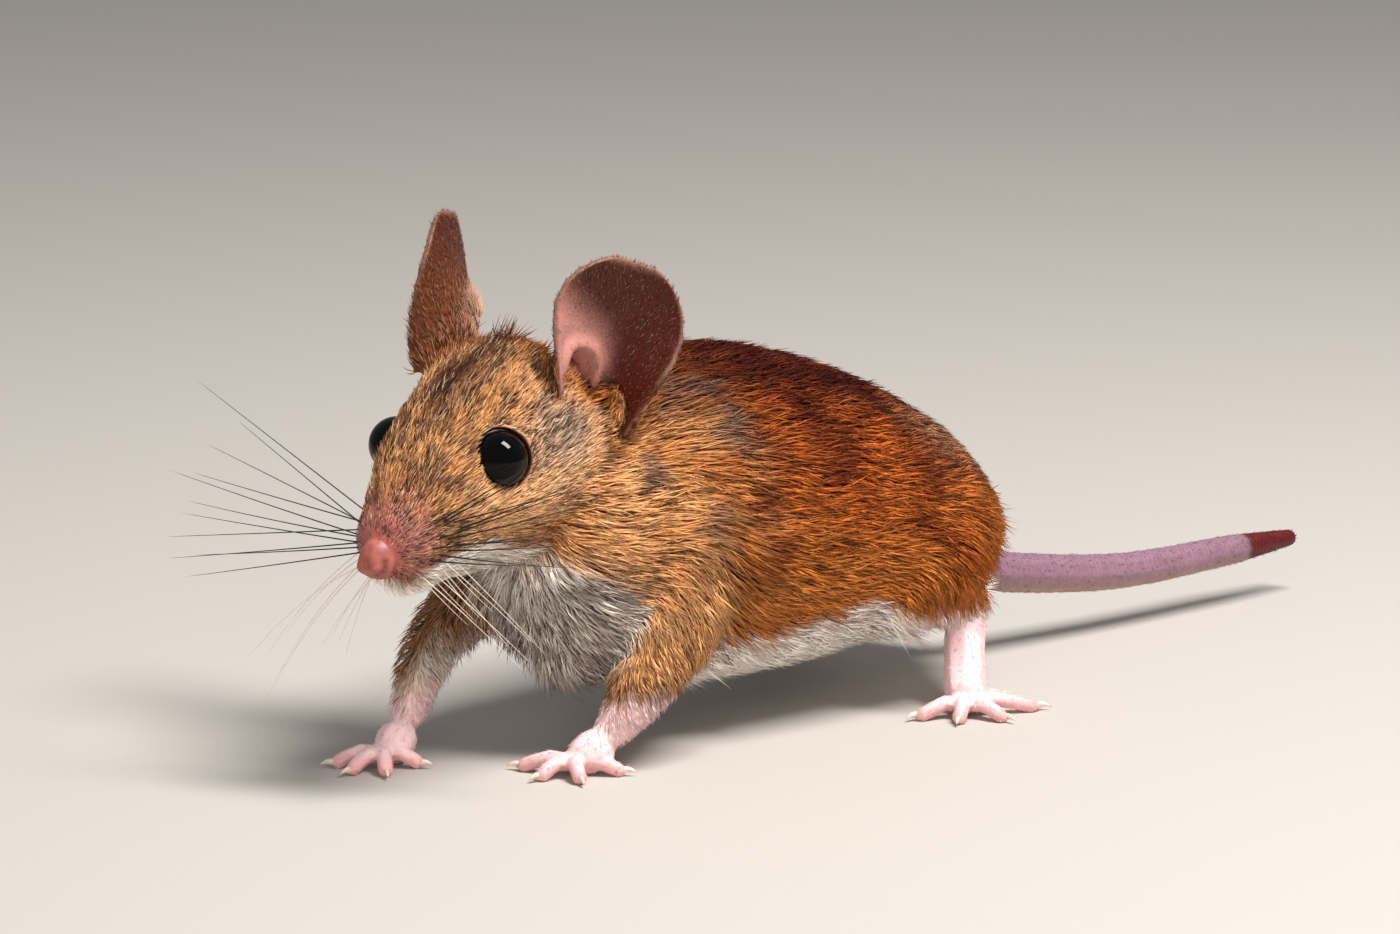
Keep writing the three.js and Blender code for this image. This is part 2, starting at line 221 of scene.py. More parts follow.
def keep(piece, name, values):
    """Stores one number for each point of a piece as an attribute that materials can read."""
    layer = piece.data.attributes.new(name, "FLOAT", "POINT")
    layer.data.foreach_set("value", np.asarray(values, np.float32))


print("the head's solid:", len(arrays(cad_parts["head"].data, 1 / MM)[1]), "triangles")


# %% [markdown]
# ## One skin
# A real skin has no seams, but the frame's flesh comes as separate solids with fine gaps between them. They
# could be joined by booleans, which leave hard creases. Instead copies are swelled until they meet, wrapped
# in one surface of fine voxels and thinned.

# %% Swelled solids
EARS = ["ear_left", "ear_right"]
FORELEGS = ["foreleg_left", "foreleg_right"]
HIND_LEGS = ["hindleg_left", "hindleg_right"]
FOREFEET = ["forefoot_left", "forefoot_right"]
HIND_FEET = ["hindfoot_left", "hindfoot_right"]
TAIL = ["tail_root", "tail_end", "tail_tip"]
PARTS = ["head", "neck", "trunk"] + EARS + FORELEGS + HIND_LEGS + FOREFEET + HIND_FEET + TAIL
SWELL = 0.2  # mm, closes the gaps between the solids


def swelled_solids():
    """All flesh solids as one mesh, each point moved SWELL along its normal and numbered with its part."""
    clouds, faces, numbers, offset = [], [], [], 0
    for number, name in enumerate(PARTS):
        points, triangles = welded(*arrays(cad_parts[name].data, 1 / MM))
        clouds.append(points + SWELL * normals_of(points, triangles))
        faces.append(triangles + offset)
        numbers.append(np.full(len(points), number))
        offset += len(points)
    solids = new_mesh("solids", np.concatenate(clouds), np.concatenate(faces), scale=1)
    keep(solids, "part", np.concatenate(numbers))
    return solids


flesh_solids = swelled_solids()
print("solids of flesh:", len(PARTS), "with", len(flesh_solids.data.vertices), "points")


# %% [markdown]
# The wrap forgets which solid a point came from. So each point of the skin looks up the nearest place on the
# solids and takes its part number, and coat, bare skin and markings can differ from part to part.

# %% Part numbers
def part_lookup(source):
    """A modifier tree that gives each point the part number of the nearest place on the source."""
    tree = bpy.data.node_groups.new("nearest part", "GeometryNodeTree")
    tree.interface.new_socket("Geometry", in_out="INPUT", socket_type="NodeSocketGeometry")
    tree.interface.new_socket("Geometry", in_out="OUTPUT", socket_type="NodeSocketGeometry")
    start, end = tree.nodes.new("NodeGroupInput"), tree.nodes.new("NodeGroupOutput")
    solids = tree.nodes.new("GeometryNodeObjectInfo")
    solids.inputs["Object"].default_value = source
    number = tree.nodes.new("GeometryNodeInputNamedAttribute")
    number.data_type = "FLOAT"
    number.inputs["Name"].default_value = "part"
    near = tree.nodes.new("GeometryNodeSampleNearestSurface")
    store = tree.nodes.new("GeometryNodeStoreNamedAttribute")
    store.inputs["Name"].default_value = "part"
    tree.links.new(solids.outputs["Geometry"], near.inputs["Mesh"])
    tree.links.new(number.outputs["Attribute"], near.inputs["Value"])
    tree.links.new(start.outputs["Geometry"], store.inputs["Geometry"])
    tree.links.new(near.outputs["Value"], store.inputs["Value"])
    tree.links.new(store.outputs["Geometry"], end.inputs["Geometry"])
    return tree


number_parts = part_lookup(flesh_solids)
print("the lookup has", len(number_parts.nodes), "nodes")


# %% [markdown]
# Three modifiers do the work on a copy: a voxel wrap, a thinning and the lookup. Then the copies are removed
# and only arrays stay.

# %% Wrapping the flesh
VOXEL = 0.25  # mm
THINNED = 0.42  # the share of the faces that is kept


def wrapped(solids):
    """The solids wrapped in one surface: its points in mm, its triangles and the points' part numbers."""
    wrap = solids.copy()
    wrap.data = solids.data.copy()
    bpy.context.scene.collection.objects.link(wrap)
    voxels = wrap.modifiers.new("wrap", "REMESH")
    voxels.mode = "VOXEL"
    voxels.voxel_size = VOXEL
    wrap.modifiers.new("thin", "DECIMATE").ratio = THINNED
    wrap.modifiers.new("parts", "NODES").node_group = number_parts
    graph = bpy.context.evaluated_depsgraph_get()
    mesh = bpy.data.meshes.new_from_object(wrap.evaluated_get(graph), depsgraph=graph)
    points, triangles = arrays(mesh, 1)
    parts = np.empty(len(points), np.float32)
    mesh.attributes["part"].data.foreach_get("value", parts)
    for spare in (wrap, solids):
        bpy.data.objects.remove(spare)
    bpy.data.meshes.remove(mesh)
    return points, triangles, np.round(parts).astype(int)


flesh, facets, part_of = wrapped(flesh_solids)
print("wrapped flesh:", len(flesh), "points,", len(facets), "triangles")


# %% [markdown]
# ## Smoothing
# Voxels leave steps. Relaxing moves every point towards the mean of its neighbours. It works on any number
# kept at the points, so the same step also spreads a part's share over its borders.

# %% Relaxing, and the share of each part
def edges_of(triangles):
    """Each pair of joined corners once."""
    pairs = np.concatenate([triangles[:, [0, 1]], triangles[:, [1, 2]], triangles[:, [2, 0]]])
    return np.unique(np.sort(pairs, axis=1), axis=0)


edges = edges_of(facets)
print("edges of the skin:", len(edges))


def relax(values, times, share=0.5):
    """Moves each value a share of the way to the mean of its neighbours, the given number of times."""
    flat = values.ndim == 1
    values = values[:, None].astype(float) if flat else values.astype(float)
    a, b = edges.T
    count = len(values)
    joined = np.maximum(np.bincount(edges.ravel(), minlength=count), 1)[:, None]
    share = np.asarray(share, float)
    share = share[:, None] if share.ndim else share
    for _ in range(times):
        near = [np.bincount(a, v[b], count) + np.bincount(b, v[a], count) for v in values.T]
        values = values + share * (np.stack(near, axis=1) / joined - values)
    return values[:, 0] if flat else values


def share_of(names, spread):
    """1 on the named parts and 0 elsewhere, relaxed so many times that it fades over their borders."""
    numbers = [PARTS.index(name) for name in names]
    return relax(np.isin(part_of, numbers).astype(float), spread)


# %% [markdown]
# Relaxing also shrinks what is thin, such as the muzzle. So the depth that was lost is itself relaxed, and
# then given back along the normals. The ears, the feet and the tail keep their shape.

# %% Smoothing with the volume kept
feet = share_of(FOREFEET + HIND_FEET, 3)
flesh = relax(flesh, 2, 0.4)
bare = share_of(EARS + FOREFEET + HIND_FEET + TAIL, 6)
snout = step(5.5, 8.5, in_head(flesh)[:, 0]) * share_of(["head"], 2)
smooth = relax(flesh, 26, 0.5 * (1 - bare) ** 2 * (1 - 0.5 * snout))
outward = normals_of(smooth, facets)
lost = relax(((flesh - smooth) * outward).sum(axis=1), 12)
flesh = smooth + outward * (lost * (1 - bare))[:, None]
print("depth given back after smoothing, mm: up to", lost.max().round(2))


# %% [markdown]
# ## The coat's depth
# The outline of a furred animal is drawn by the tips of its hair, and the solids reach out to those tips.
# So the skin sinks below them by the depth of the coat: deep on the trunk, thin on the face, none on bare
# parts. Sinking in one move would fold the surface in tight places, so it goes in small relaxed steps.

# %% Sinking the skin
def eye_gap(points):
    """The distance from each point to the surface of the nearer eyeball."""
    return np.minimum(*(np.linalg.norm(points - eye, axis=1) for eye in EYES.values())) - EYE_RADIUS


def coat_depth(points):
    """How far the coat stands off: each part's own depth, none beside the eyes, relaxed over borders."""
    face = np.interp(in_head(points)[:, 0], [-9, -3, 4, 9, 12], [1.3, 0.95, 0.6, 0.3, 0.05])
    total = np.zeros(len(points))
    for names, value in (
        (["head"], face),
        (["neck", "trunk"], 1.9),
        (FORELEGS, np.interp(points[:, 2], [4, 9, 16], [0.2, 0.6, 1.4])),
        (HIND_LEGS, np.interp(points[:, 2], [7, 11, 18], [0.2, 1.1, 1.8])),
    ):
        total += np.isin(part_of, [PARTS.index(name) for name in names]) * value
    return relax(total * step(0.2, 3.0, eye_gap(points)), 14)


def sunk(points, fall, steps=6):
    """The surface lowered by fall along its normals in small steps, relaxed a little after each."""
    soft = 0.5 * np.clip(fall, 0, 1)
    for _ in range(steps):
        points = points - normals_of(points, facets) * (fall / steps)[:, None]
        points = relax(points, 2, soft)
    return points


EAR_THINNER = 0.04  # mm, for the down on both faces
depth = coat_depth(flesh)
ears = share_of(EARS, 3)
skin_points = sunk(flesh, depth + SWELL * (1 - feet) * (1 - 0.5 * bare) + EAR_THINNER * ears)
skin_points[:, 2] = np.maximum(skin_points[:, 2], 0)
skin_normals = normals_of(skin_points, facets)
print("coat depth from", round(depth.min(), 2), "to", round(depth.max(), 2), "mm")


# %% [markdown]
# ## Places on an ear
# The ear is a curved leaf, rolled about its own length. A place on it is known by its height from the root,
# by how far across the leaf it lies, and by whether it faces into the cup. With those three numbers a fold
# or a marking is one line, for either ear.

# %% The ear's own coordinates
EAR_LENGTH, EAR_WIDTH = 15.8, 14.8
EAR_WIDEST, EAR_ROOT_SHARE = 0.55, 0.95  # the height of the widest place, and the root's share of that width
EAR_CURL = (math.radians(112), math.radians(22))  # half the roll at the root and at the tip
EAR_BACK = 24  # degrees that the ear leans backwards
EAR_PLACES = {"left": ((-12.8, 5.8, -0.6), 22, 47), "right": ((-12.8, -5.6, 2.2), 20, 58)}  # root, lean, spin


def turned(axis, degrees):
    """The matrix that turns by degrees about the given axis, 0, 1 or 2."""
    c, s = math.cos(math.radians(degrees)), math.sin(math.radians(degrees))
    one, two = [(1, 2), (2, 0), (0, 1)][axis]
    matrix = np.eye(3)
    matrix[one, one], matrix[two, two], matrix[one, two], matrix[two, one] = c, c, -s, s
    return matrix


def in_ear(points, side):
    """Height from root to tip, place across from -1 to 1 (1 is outward), and 1 where it faces into the cup.

    The leaf at each height is an arc. Its half width over its half angle is the arc's radius, the angle about
    the arc's centre gives the place across, and the distance from the centre tells the inner face.
    """
    root, lean, spin = EAR_PLACES[side]
    way = SIDES[side]
    axes = turned(0, -way * lean) @ turned(1, -EAR_BACK) @ turned(2, way * spin)
    local = (in_head(points) - root) @ axes
    height = np.clip(local[:, 2] / EAR_LENGTH, 0, 0.995)
    over = np.sqrt(np.maximum(1 - ((height - EAR_WIDEST) / (1 - EAR_WIDEST)) ** 2, 0.02))
    under = EAR_ROOT_SHARE + (1 - EAR_ROOT_SHARE) * step(0, EAR_WIDEST, height)
    half = EAR_WIDTH / 2 * np.where(height > EAR_WIDEST, over, under)
    curl = EAR_CURL[0] + (EAR_CURL[1] - EAR_CURL[0]) * step(0, 0.85, height)
    bend = half / curl
    angle = np.arctan2(local[:, 1], bend - local[:, 0])
    inner = step(0.45, 0.15, np.hypot(local[:, 1], bend - local[:, 0]) - bend)
    return height, way * angle / curl, inner


ear_height, ear_across, ear_inner = np.zeros((3, len(skin_points)))
for ear_side in SIDES:
    mine = share_of([f"ear_{ear_side}"], 2) > 0.3
    ear_height[mine], ear_across[mine], ear_inner[mine] = in_ear(skin_points[mine], ear_side)
print("points on the ears:", int((ears > 0.5).sum()))

# %% [markdown]
# ## Folds of the ear
# Inside a mouse's ear a thick fold runs like a horseshoe round the deep opening, with a ridge beside it.
# Both could be sculpted. Here they are bells of a distance in the ear's own coordinates, raised along the
# normals, and the opening is a hollow between them.

# %% The horseshoe and the ridge
horseshoe = np.hypot((ear_across + 0.3) / 0.42, (ear_height - 0.24) / 0.17)
fold = 0.75 * bump(horseshoe - 1, 0.24) * step(0.1, 0.2, ear_height)
fold -= 0.5 * bump(horseshoe, 0.55)
ridge = bump(ear_across - 0.1 + 0.8 * (ear_height - 0.2), 0.09) * bump(ear_height - 0.2, 0.12)
fold += 0.5 * ridge
skin_points = skin_points + skin_normals * (fold * ear_inner * step(0.4, 0.9, ears))[:, None]
skin_normals = normals_of(skin_points, facets)
print("folds of the ear from", fold.min().round(2), "to", fold.max().round(2), "mm")

# %% [markdown]
# ## Markings
# A wood mouse is golden on the face, rust on the flank, dark along the back and white below, with a clear
# line between. A painted texture could show that, but it wouldn't reach the hairs. So each marking is a
# number from 0 to 1 at every point of the skin: steps and bells of the landmarks' frames, multiplied.
# Hairs take the numbers at their roots, so the skin and the coat always agree.

# %% Where each point lies
ahead, left, up = in_head(flesh).T
side = np.abs(left)
tall = flesh[:, 2]
behind = flesh[:, 0] - BROW[0]  # along the body, from the eyes
angle = spine_angle(flesh)
head_share = share_of(["head"], 24)
front = head_share * step(-13, -7, ahead)
body = 1 - front
fore = share_of(FORELEGS, 10)
rough = ripple(flesh, 9, 3)
fine = ripple(flesh * [0.45, 1, 1], 2.6, 4)  # drawn out along the body, as locks are
marks = {}


def side_out(points):
    """How far outward of its own leg's middle a point lies, relaxed a little."""
    out = np.zeros(len(points))
    for name in FORELEGS + HIND_LEGS:
        own = part_of == PARTS.index(name)
        centre = middle(name)
        out[own] = (points[own, 1] - centre[1]) * np.sign(centre[1] - TRUNK_MIDDLE)
    return relax(out, 6)


leg_out = side_out(flesh)
print("behind the eyes up to", behind.max().round(1), "mm, angle up to", angle.max().round(), "degrees")

# %% [markdown]
# The back is darkest along the spine and turns to rust on the flank. The shoulders and forelegs are buff.
# The haunch is lighter, with a painted highlight on its top, and small dark and slate flecks break up every
# broad colour.

# %% Markings of the body
haunch = step(44, 64, behind) * step(30, 62, angle)
flank = step(112, 70, angle + 10 * rough) * step(12, 37, behind + 5 * fine)
flecks = step(0.25, 0.8, ripple(flesh * [0.5, 1, 1], 4.2, 11)) * step(120, 90, angle)
patches = step(0.35, 0.8, ripple(flesh * [0.8, 1, 0.6], 5.0, 21)) * step(105, 85, angle)
marks["rust"] = body * flank * (1 - 0.65 * haunch)
marks["mahogany"] = body * step(68, 27, angle + 14 * rough + 10 * fine) * step(8, 30, behind + 4 * fine)
marks["buff"] = body * step(31, 12, behind + 5 * rough + 3 * fine) * step(28, 60, angle)
marks["buff"] = np.maximum(marks["buff"], fore * step(6, 9, tall))
marks["mottle"] = body * step(20, 28, behind) * flecks * (1 - 0.5 * haunch)
marks["slate"] = 0.7 * body * patches * step(11, 15, behind) * step(32, 24, behind)
# a painted highlight: a pale bell on the upper haunch, where the light falls on its round
marks["pale"] = 0.85 * body * bump(behind - 57, 5.5) * bump(angle - 42, 13)
print({name: round(float(strength.mean()), 2) for name, strength in marks.items()})

# %% [markdown]
# The face is golden with dark streaks and a dark band over the crown. It is greyer behind the eye, and the
# muzzle blushes mauve and then pink towards the nose, where the hair thins.

# %% Markings of the head
band = bump(left + 0.8 + 1.2 * ripple(flesh, 7, 8), 3.7) * step(6, 1, ahead + 2 * rough)
streaks = step(0.1, 0.7, ripple(flesh * [0.6, 1, 0.8], 3.0, 77))
marks["golden"] = front * step(-11.8, -8.5, up + 0.5 * rough)
marks["streak"] = 0.75 * front * streaks * step(-8, -4, up)
marks["crown"] = band * step(-18, -12, ahead) * step(0, 3, up)
marks["grey"] = 0.9 * head_share * bump(ahead + 6, 4.5) * bump(side - 9.2, 2.8) * bump(up, 4.5)
marks["cheek"] = head_share * bump(up + 4.5, 4.5) * step(4.5, 6.5, side)
marks["muzzle"] = 0.75 * head_share * step(8.2, 11, ahead + 0.5 * rough) * step(-7.9, -6.8, up)
marks["blush"] = head_share * step(10.4, 12.4, ahead + 0.4 * rough) * step(-8.2, -7.2, up)
marks["nose"] = share_of(["head"], 2) * step(12.0, 13.2, ahead) * step(-8.2, -7.0, up)
marks["lid"] = head_share * bump(eye_gap(flesh), 0.5)
print("golden over", round(float(marks["golden"].mean()), 2), "of the skin")

# %% [markdown]
# The white of the belly begins at a clear line. It is given as an angle from the spine at places along the
# body, and the line of the lip as a height at places along the head. Under the chest, between the forelegs,
# the white is darkened with painted shade.

# %% White below
BELLY_BEHIND = [8, 24.5, 33.9, 43.5, 54.7, 66.7, 74]
BELLY_ANGLE = [112, 136, 130, 122, 116, 114, 113]
LIP_AHEAD = [-6, 0, 4, 7, 11, 13]
LIP_UP = [-12.0, -9.8, -7.2, -6.3, -7.2, -7.8]
under_line = angle - np.interp(behind, BELLY_BEHIND, BELLY_ANGLE)
over_lip = up - np.interp(ahead, LIP_AHEAD, LIP_UP)
belly = body * (1 - fore) * step(-3.5, 3.5, under_line + 2.5 * fine) * step(72, 68, behind)
chin = head_share * step(0.5, -0.5, over_lip + 0.4 * fine)
throat = body * (1 - fore) * step(-11, -14, up) * step(13, 4, behind)
limb = share_of(FORELEGS + HIND_LEGS, 8)
inner_leg = limb * step(0.5, -3, leg_out) * step(5, 9, tall) * step(15, 10, tall)
marks["white"] = np.maximum.reduce([belly, chin, throat, 0.8 * inner_leg])
# painted shade: the white greyed under the chest, between the forelegs
marks["chest_shade"] = body * (1 - fore) * step(22, 12, behind) * step(-12.5, -16, up) * (0.55 + 0.3 * fine)
print("white over", round(float(marks["white"].mean()), 2), "of the skin")

# %% [markdown]
# A brown band closes the sleeve of each foreleg above a pale sock. The feet are pink, redder at the toes, and
# the tail is lilac above and sandy below, with a raw red tip.

# %% Markings of the limbs and the tail
shin = share_of(HIND_LEGS, 4) * step(9.5, 7, tall)
cuff = 0.8 * bump(tall - 8.3, 1.0) * step(-2.5, 0, leg_out)
right_sleeve = 0.75 * step(0, -3, left) * step(8, 9.5, tall)
marks["wrist"] = fore * np.maximum(cuff, right_sleeve)
marks["sock"] = fore * step(7.9, 6.5, tall + 0.6 * fine)
marks["foot"] = np.maximum.reduce([share_of(FOREFEET + HIND_FEET, 4), 0.85 * marks["sock"], shin])
marks["toe"] = 0.65 * share_of(FOREFEET + HIND_FEET, 2) * step(2.2, 0.7, tall)
marks["tail"] = share_of(TAIL, 4)
marks["tail_under"] = 0.6 * marks["tail"] * step(-0.1, -0.8, skin_normals[:, 2])
marks["tip"] = share_of(["tail_tip"], 3)
print("feet and socks over", round(float(marks["foot"].mean()), 2), "of the skin")

# %% [markdown]
# The ears are dark brown leaves with a paler rim and furred roots. The cup is pink where the skin is bare,
# and the hollow of its opening is darkened with painted shade. The right ear has a pale tuft at its outer
# edge.

# %% Markings of the ears
right_ear = share_of(["ear_right"], 3)
pink = step(0.66, 0.36, ear_height + 0.2 * ear_across) * step(0.45, 0.0, ear_across + 0.3 * ear_height)
edge = step(0.93, 0.99, np.maximum(np.abs(ear_across), ear_height))
marks["ear"] = share_of(EARS, 4)
marks["cup"] = relax(ear_inner * pink * ears, 2)
# painted shade: the hollow of the ear's opening is laid a darker red
marks["deep_shade"] = 0.8 * marks["cup"] * bump(horseshoe, 0.7)
marks["tuft"] = right_ear * bump(ear_height - 0.26, 0.17) * step(-0.5, 0.6, ear_across)
marks["ear_base"] = marks["ear"] * (1 - ear_inner) * step(0.45, 0.12, ear_height)
marks["ear_base"] = np.maximum(marks["ear_base"], 0.7 * right_ear * step(0.95, 0.3, ear_height))
marks["rim"] = ears * edge * step(0.3, 0.5, ear_height)
print("pink cup over", round(float(marks["cup"].mean()), 3), "of the skin")

# %% [markdown]
# ## The skin piece
# One mesh now stands for every flesh solid. It keeps all the markings as attributes for its material.

# %% The skin piece
skin = new_mesh("mouse_skin", skin_points, facets)
for mark, strength in marks.items():
    keep(skin, mark, strength)
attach(skin, "root")
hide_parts(*PARTS)
print("skin:", len(facets), "triangles, markings:", ", ".join(marks))


# %% [markdown]
# ## The lie of the coat
# Hair grows away from the nose, back over the head, along the flanks, down the legs and out along the tail.
# A comb brush could lay it by hand. Here each part has a simple rule for its direction. The rules are relaxed
# over the borders and laid flat on the skin. The skin's bend along that direction is measured too, so that
# long hairs can follow a round flank instead of standing off it.

# %% Directions and bend
def along_skin(ways, normals):
    """Directions laid flat on the skin: each minus its own part along the normal."""
    return ways - normals * (ways * normals).sum(axis=1, keepdims=True)


def flow_field(points, normals):
    """The direction in which hair lies at each point: part rules, relaxed, then made tangent to the skin."""
    from_nose = unit(points - NOSE)
    down_back = unit(np.array([1.0, 0, -0.22])) + 0 * points
    rules = {"head": from_nose, "neck": unit(from_nose + down_back), "trunk": down_back}
    for side_name in SIDES:
        root = EAR_PLACES[side_name][0]
        rules[f"ear_{side_name}"] = unit(points - from_head(root[0] + 1, root[1], root[2] - 3))
    for name in FORELEGS + HIND_LEGS:
        rules[name] = unit(np.array([0.35, 0.25 * np.sign(middle(name)[1]), -1.0])) + 0 * points
    for name in FOREFEET + HIND_FEET:
        ankle = [middle(name)[0] + 3, middle(name)[1], span(name)[1][2] + 1]
        rules[name] = unit(points - ankle)
    for name in TAIL:
        rules[name] = np.array([1.0, 0, 0]) + 0 * points
    lie = np.zeros_like(points)
    for number, name in enumerate(PARTS):
        lie += (part_of == number)[:, None] * rules[name]
    lie = unit(along_skin(relax(lie, 30), normals))
    tuft_way = unit(0.7 * UP + 0.7 * LEFT - 0.3 * AHEAD)
    lie = relax(lie, 10) + 3.0 * marks["tuft"][:, None] * tuft_way
    return unit(along_skin(lie, normals))


def bend_along(points, normals, lie):
    """The skin's bend along the lie: how fast the normals turn, each edge weighed by how well it fits."""
    a, b = edges.T
    way = points[b] - points[a]
    long = np.maximum((way * way).sum(axis=1), 1e-9)
    turning = ((normals[b] - normals[a]) * way).sum(axis=1) / long
    total, weights = np.zeros(len(points)), np.full(len(points), 1e-9)
    for end in (a, b):
        fit = ((way * lie[end]).sum(axis=1)) ** 2 / long
        total += np.bincount(end, fit * turning, len(points))
        weights += np.bincount(end, fit, len(points))
    return relax(total / weights, 20)


flow = flow_field(skin_points, skin_normals)
bend = np.clip(bend_along(skin_points, skin_normals, flow), -0.04, 0.14)
print("skin bend along the coat, per mm:", np.percentile(bend, [5, 50, 95]).round(3))


# %% [markdown]
# ## A hair is a spine
# Particle hair has no body of its own, so each hair here is a closed tapered solid: a three-sided ring at the
# root, a thicker ring half way and a point. Ten triangles are enough at this size. The same function makes
# the whiskers and claws, with more rings and sides.

# %% Spines
def spines(paths, radius, across, over, sides=3):
    """Closed tapered spines along paths (spines, rings, 3), whose last ring is the tip.

    A ring's corner is the path's point plus the radius times (cosine times across plus sine times over).
    Returns the points, the triangles and the number of points in one spine.
    """
    hairs, rings = paths.shape[:2]
    turns = np.arange(sides) * 2 * np.pi / sides
    ring = across[:, None, None, :] * np.cos(turns)[None, None, :, None]
    ring = ring + over[:, None, None, :] * np.sin(turns)[None, None, :, None]
    tube = paths[:, : rings - 1, None, :] + ring * radius[:, : rings - 1, None, None]
    points = np.concatenate([tube.reshape(hairs, -1, 3), paths[:, -1:, :]], axis=1)
    each = sides * (rings - 1) + 1
    k = np.arange(sides)
    after = (k + 1) % sides
    faces = [np.stack([0 * k[1:-1], k[2:], k[1:-1]], axis=1)]
    for r in range(rings - 2):
        low, high = r * sides, (r + 1) * sides
        faces.append(np.stack([low + k, low + after, high + after], axis=1))
        faces.append(np.stack([low + k, high + after, high + k], axis=1))
    last = (rings - 2) * sides
    faces.append(np.stack([last + k, last + after, 0 * k + each - 1], axis=1))
    one = np.concatenate(faces)
    triangles = (one[None] + (np.arange(hairs) * each)[:, None, None]).reshape(-1, 3)
    return points.reshape(-1, 3), triangles, each


one_hair = spines(np.zeros((1, 3, 3)), np.zeros((1, 3)), np.zeros((1, 3)), np.zeros((1, 3)))
print("one hair:", one_hair[2], "points,", len(one_hair[1]), "triangles")


# %% [markdown]
# ## Roots
# Hair must be spread evenly over the skin, whatever the size of its triangles. So each triangle is picked as
# often as its area times the wanted density, and the root falls anywhere inside it with the same chance.

# %% Roots
corner_a, corner_b, corner_c = (skin_points[facets[:, k]] for k in range(3))
AREAS = np.linalg.norm(np.cross(corner_b - corner_a, corner_c - corner_a), axis=1) / 2


def roots(count, density, rng):
    """Hair roots by area times density: each one's triangle, and the three weights of its corners."""
    weights = AREAS * density[facets].mean(axis=1)
    ladder = np.cumsum(weights)
    picks = (np.arange(count) + rng.random(count)) / count * ladder[-1]
    chosen = np.minimum(np.searchsorted(ladder, picks), len(facets) - 1)
    u, v = rng.random((2, count))
    root_u = np.sqrt(u)
    return chosen, np.stack([1 - root_u, root_u * (1 - v), root_u * v], axis=1)


def at_roots(values, place):
    """Values of skin points read at the roots: the corners' values times their weights, added."""
    chosen, corners = place
    weights = corners[:, :, None] if values.ndim == 2 else corners
    return (values[facets[chosen]] * weights).sum(axis=1)


print("skin area:", round(float(AREAS.sum())), "square mm")


# %% [markdown]
# ## Patches for baking
# The hairs' colours can be baked into a picture later, so each hair needs its own small patch of a flat map.
# The patches lie where the hairs' roots lie on a cylinder round the piece, so neighbours stay neighbours.

# %% Patches
PATCH = 0.003  # the side of one hair's patch, where the whole map is 1
PATCH_SPOTS = np.array([[0, 0], [0.5, 0], [1, 0], [0, 0.5], [0.5, 0.5], [1, 0.5], [0.5, 1]]) - 0.5


def unwrap(points):
    """A cylinder unwrap about the long way of the points' own box, as numbers from 0.01 to 0.99."""
    low, high = points.min(axis=0), points.max(axis=0)
    centre = (low + high) / 2
    long = int(np.argmax(high - low))
    others = [k for k in range(3) if k != long]
    away = points - centre
    around = np.arctan2(away[:, others[0]], away[:, others[1]]) / (2 * np.pi) + 0.5
    along = (points[:, long] - low[long]) / (high[long] - low[long])
    return np.clip(np.stack([along, around], axis=1), 0, 1) * 0.98 + 0.01


print("a patch has", len(PATCH_SPOTS), "corners, one for each point of a hair")


# %% [markdown]
# ## The path of a hair
# A hair rises fast from the skin and then lies along the coat. It would leave a round flank in a straight
# line, so the skin's own bend pulls it back down. Ripples turn neighbours the same way, which makes the coat
# clump, and a little chance keeps the hairs of a clump apart.

# %% Paths
FLATTENED = 0.6  # a hair's thickness over its width
SUNK_ROOT = 0.12  # how far a hair starts below the skin
CLUMP_TURN, STRAND_TURN, STRAY_TURN = 0.16, 0.2, 0.09  # sideways turns by clump, by strand and by chance


def hair_paths(place, length, width, height, rng):
    """Root, half way and tip of each hair, its radii, and the two directions across it.

    At a share s of its reach a hair is lifted by rise (1 - (1 - s)^1.7) and lowered by bend (s reach)² / 2.
    """
    count = len(place[0])
    base = at_roots(skin_points, place)
    normal = unit(at_roots(skin_normals, place))
    lie = unit(along_skin(at_roots(flow, place), normal))
    across = np.cross(normal, lie)
    reach = at_roots(length, place) * rng.uniform(0.7, 1.25, count)
    girth = at_roots(width, place) * rng.uniform(0.7, 1.3, count)
    rise = at_roots(height, place) * rng.uniform(0.45, 0.95, count)
    sway = CLUMP_TURN * ripple(base, 6.5, 50) + STRAND_TURN * ripple(base, 1.6, 60)
    sway = sway + rng.normal(0, STRAY_TURN, count)
    lie = unit(lie + across * sway[:, None])
    across = np.cross(normal, lie)
    shares = np.array([0.0, 0.5, 1.0])
    forth = reach[:, None] * shares
    lifted = rise[:, None] * (1 - (1 - shares) ** 1.7) - at_roots(bend, place)[:, None] * forth**2 / 2
    lifted[:, 0] = -SUNK_ROOT
    turn_off = (rng.normal(0, 0.07, count) * reach)[:, None] * shares**2
    paths = base[:, None] + lie[:, None] * forth[:, :, None] + normal[:, None] * lifted[:, :, None]
    paths = paths + across[:, None] * turn_off[:, :, None]
    paths[:, :, 2] = np.maximum(paths[:, :, 2], 0.05)
    radius = girth[:, None] / 2 * np.array([0.75, 1.0, 0.0])
    return base, paths, radius, across, normal * FLATTENED


print("a clump of hairs turns together by up to", round(math.degrees(math.atan(CLUMP_TURN))), "degrees")


# %% [markdown]
# ## The colour of a hair
# Hairs of one coat aren't alike. Each has its own tone, some are dark guard hairs, and on the face and the
# ears some are pale, as if frosted. These are drawn by chance, with odds that depend on the place.

# %% Chances of the hairs
GUARD_ODDS, GUARD_ON_FACE = 0.12, 0.38


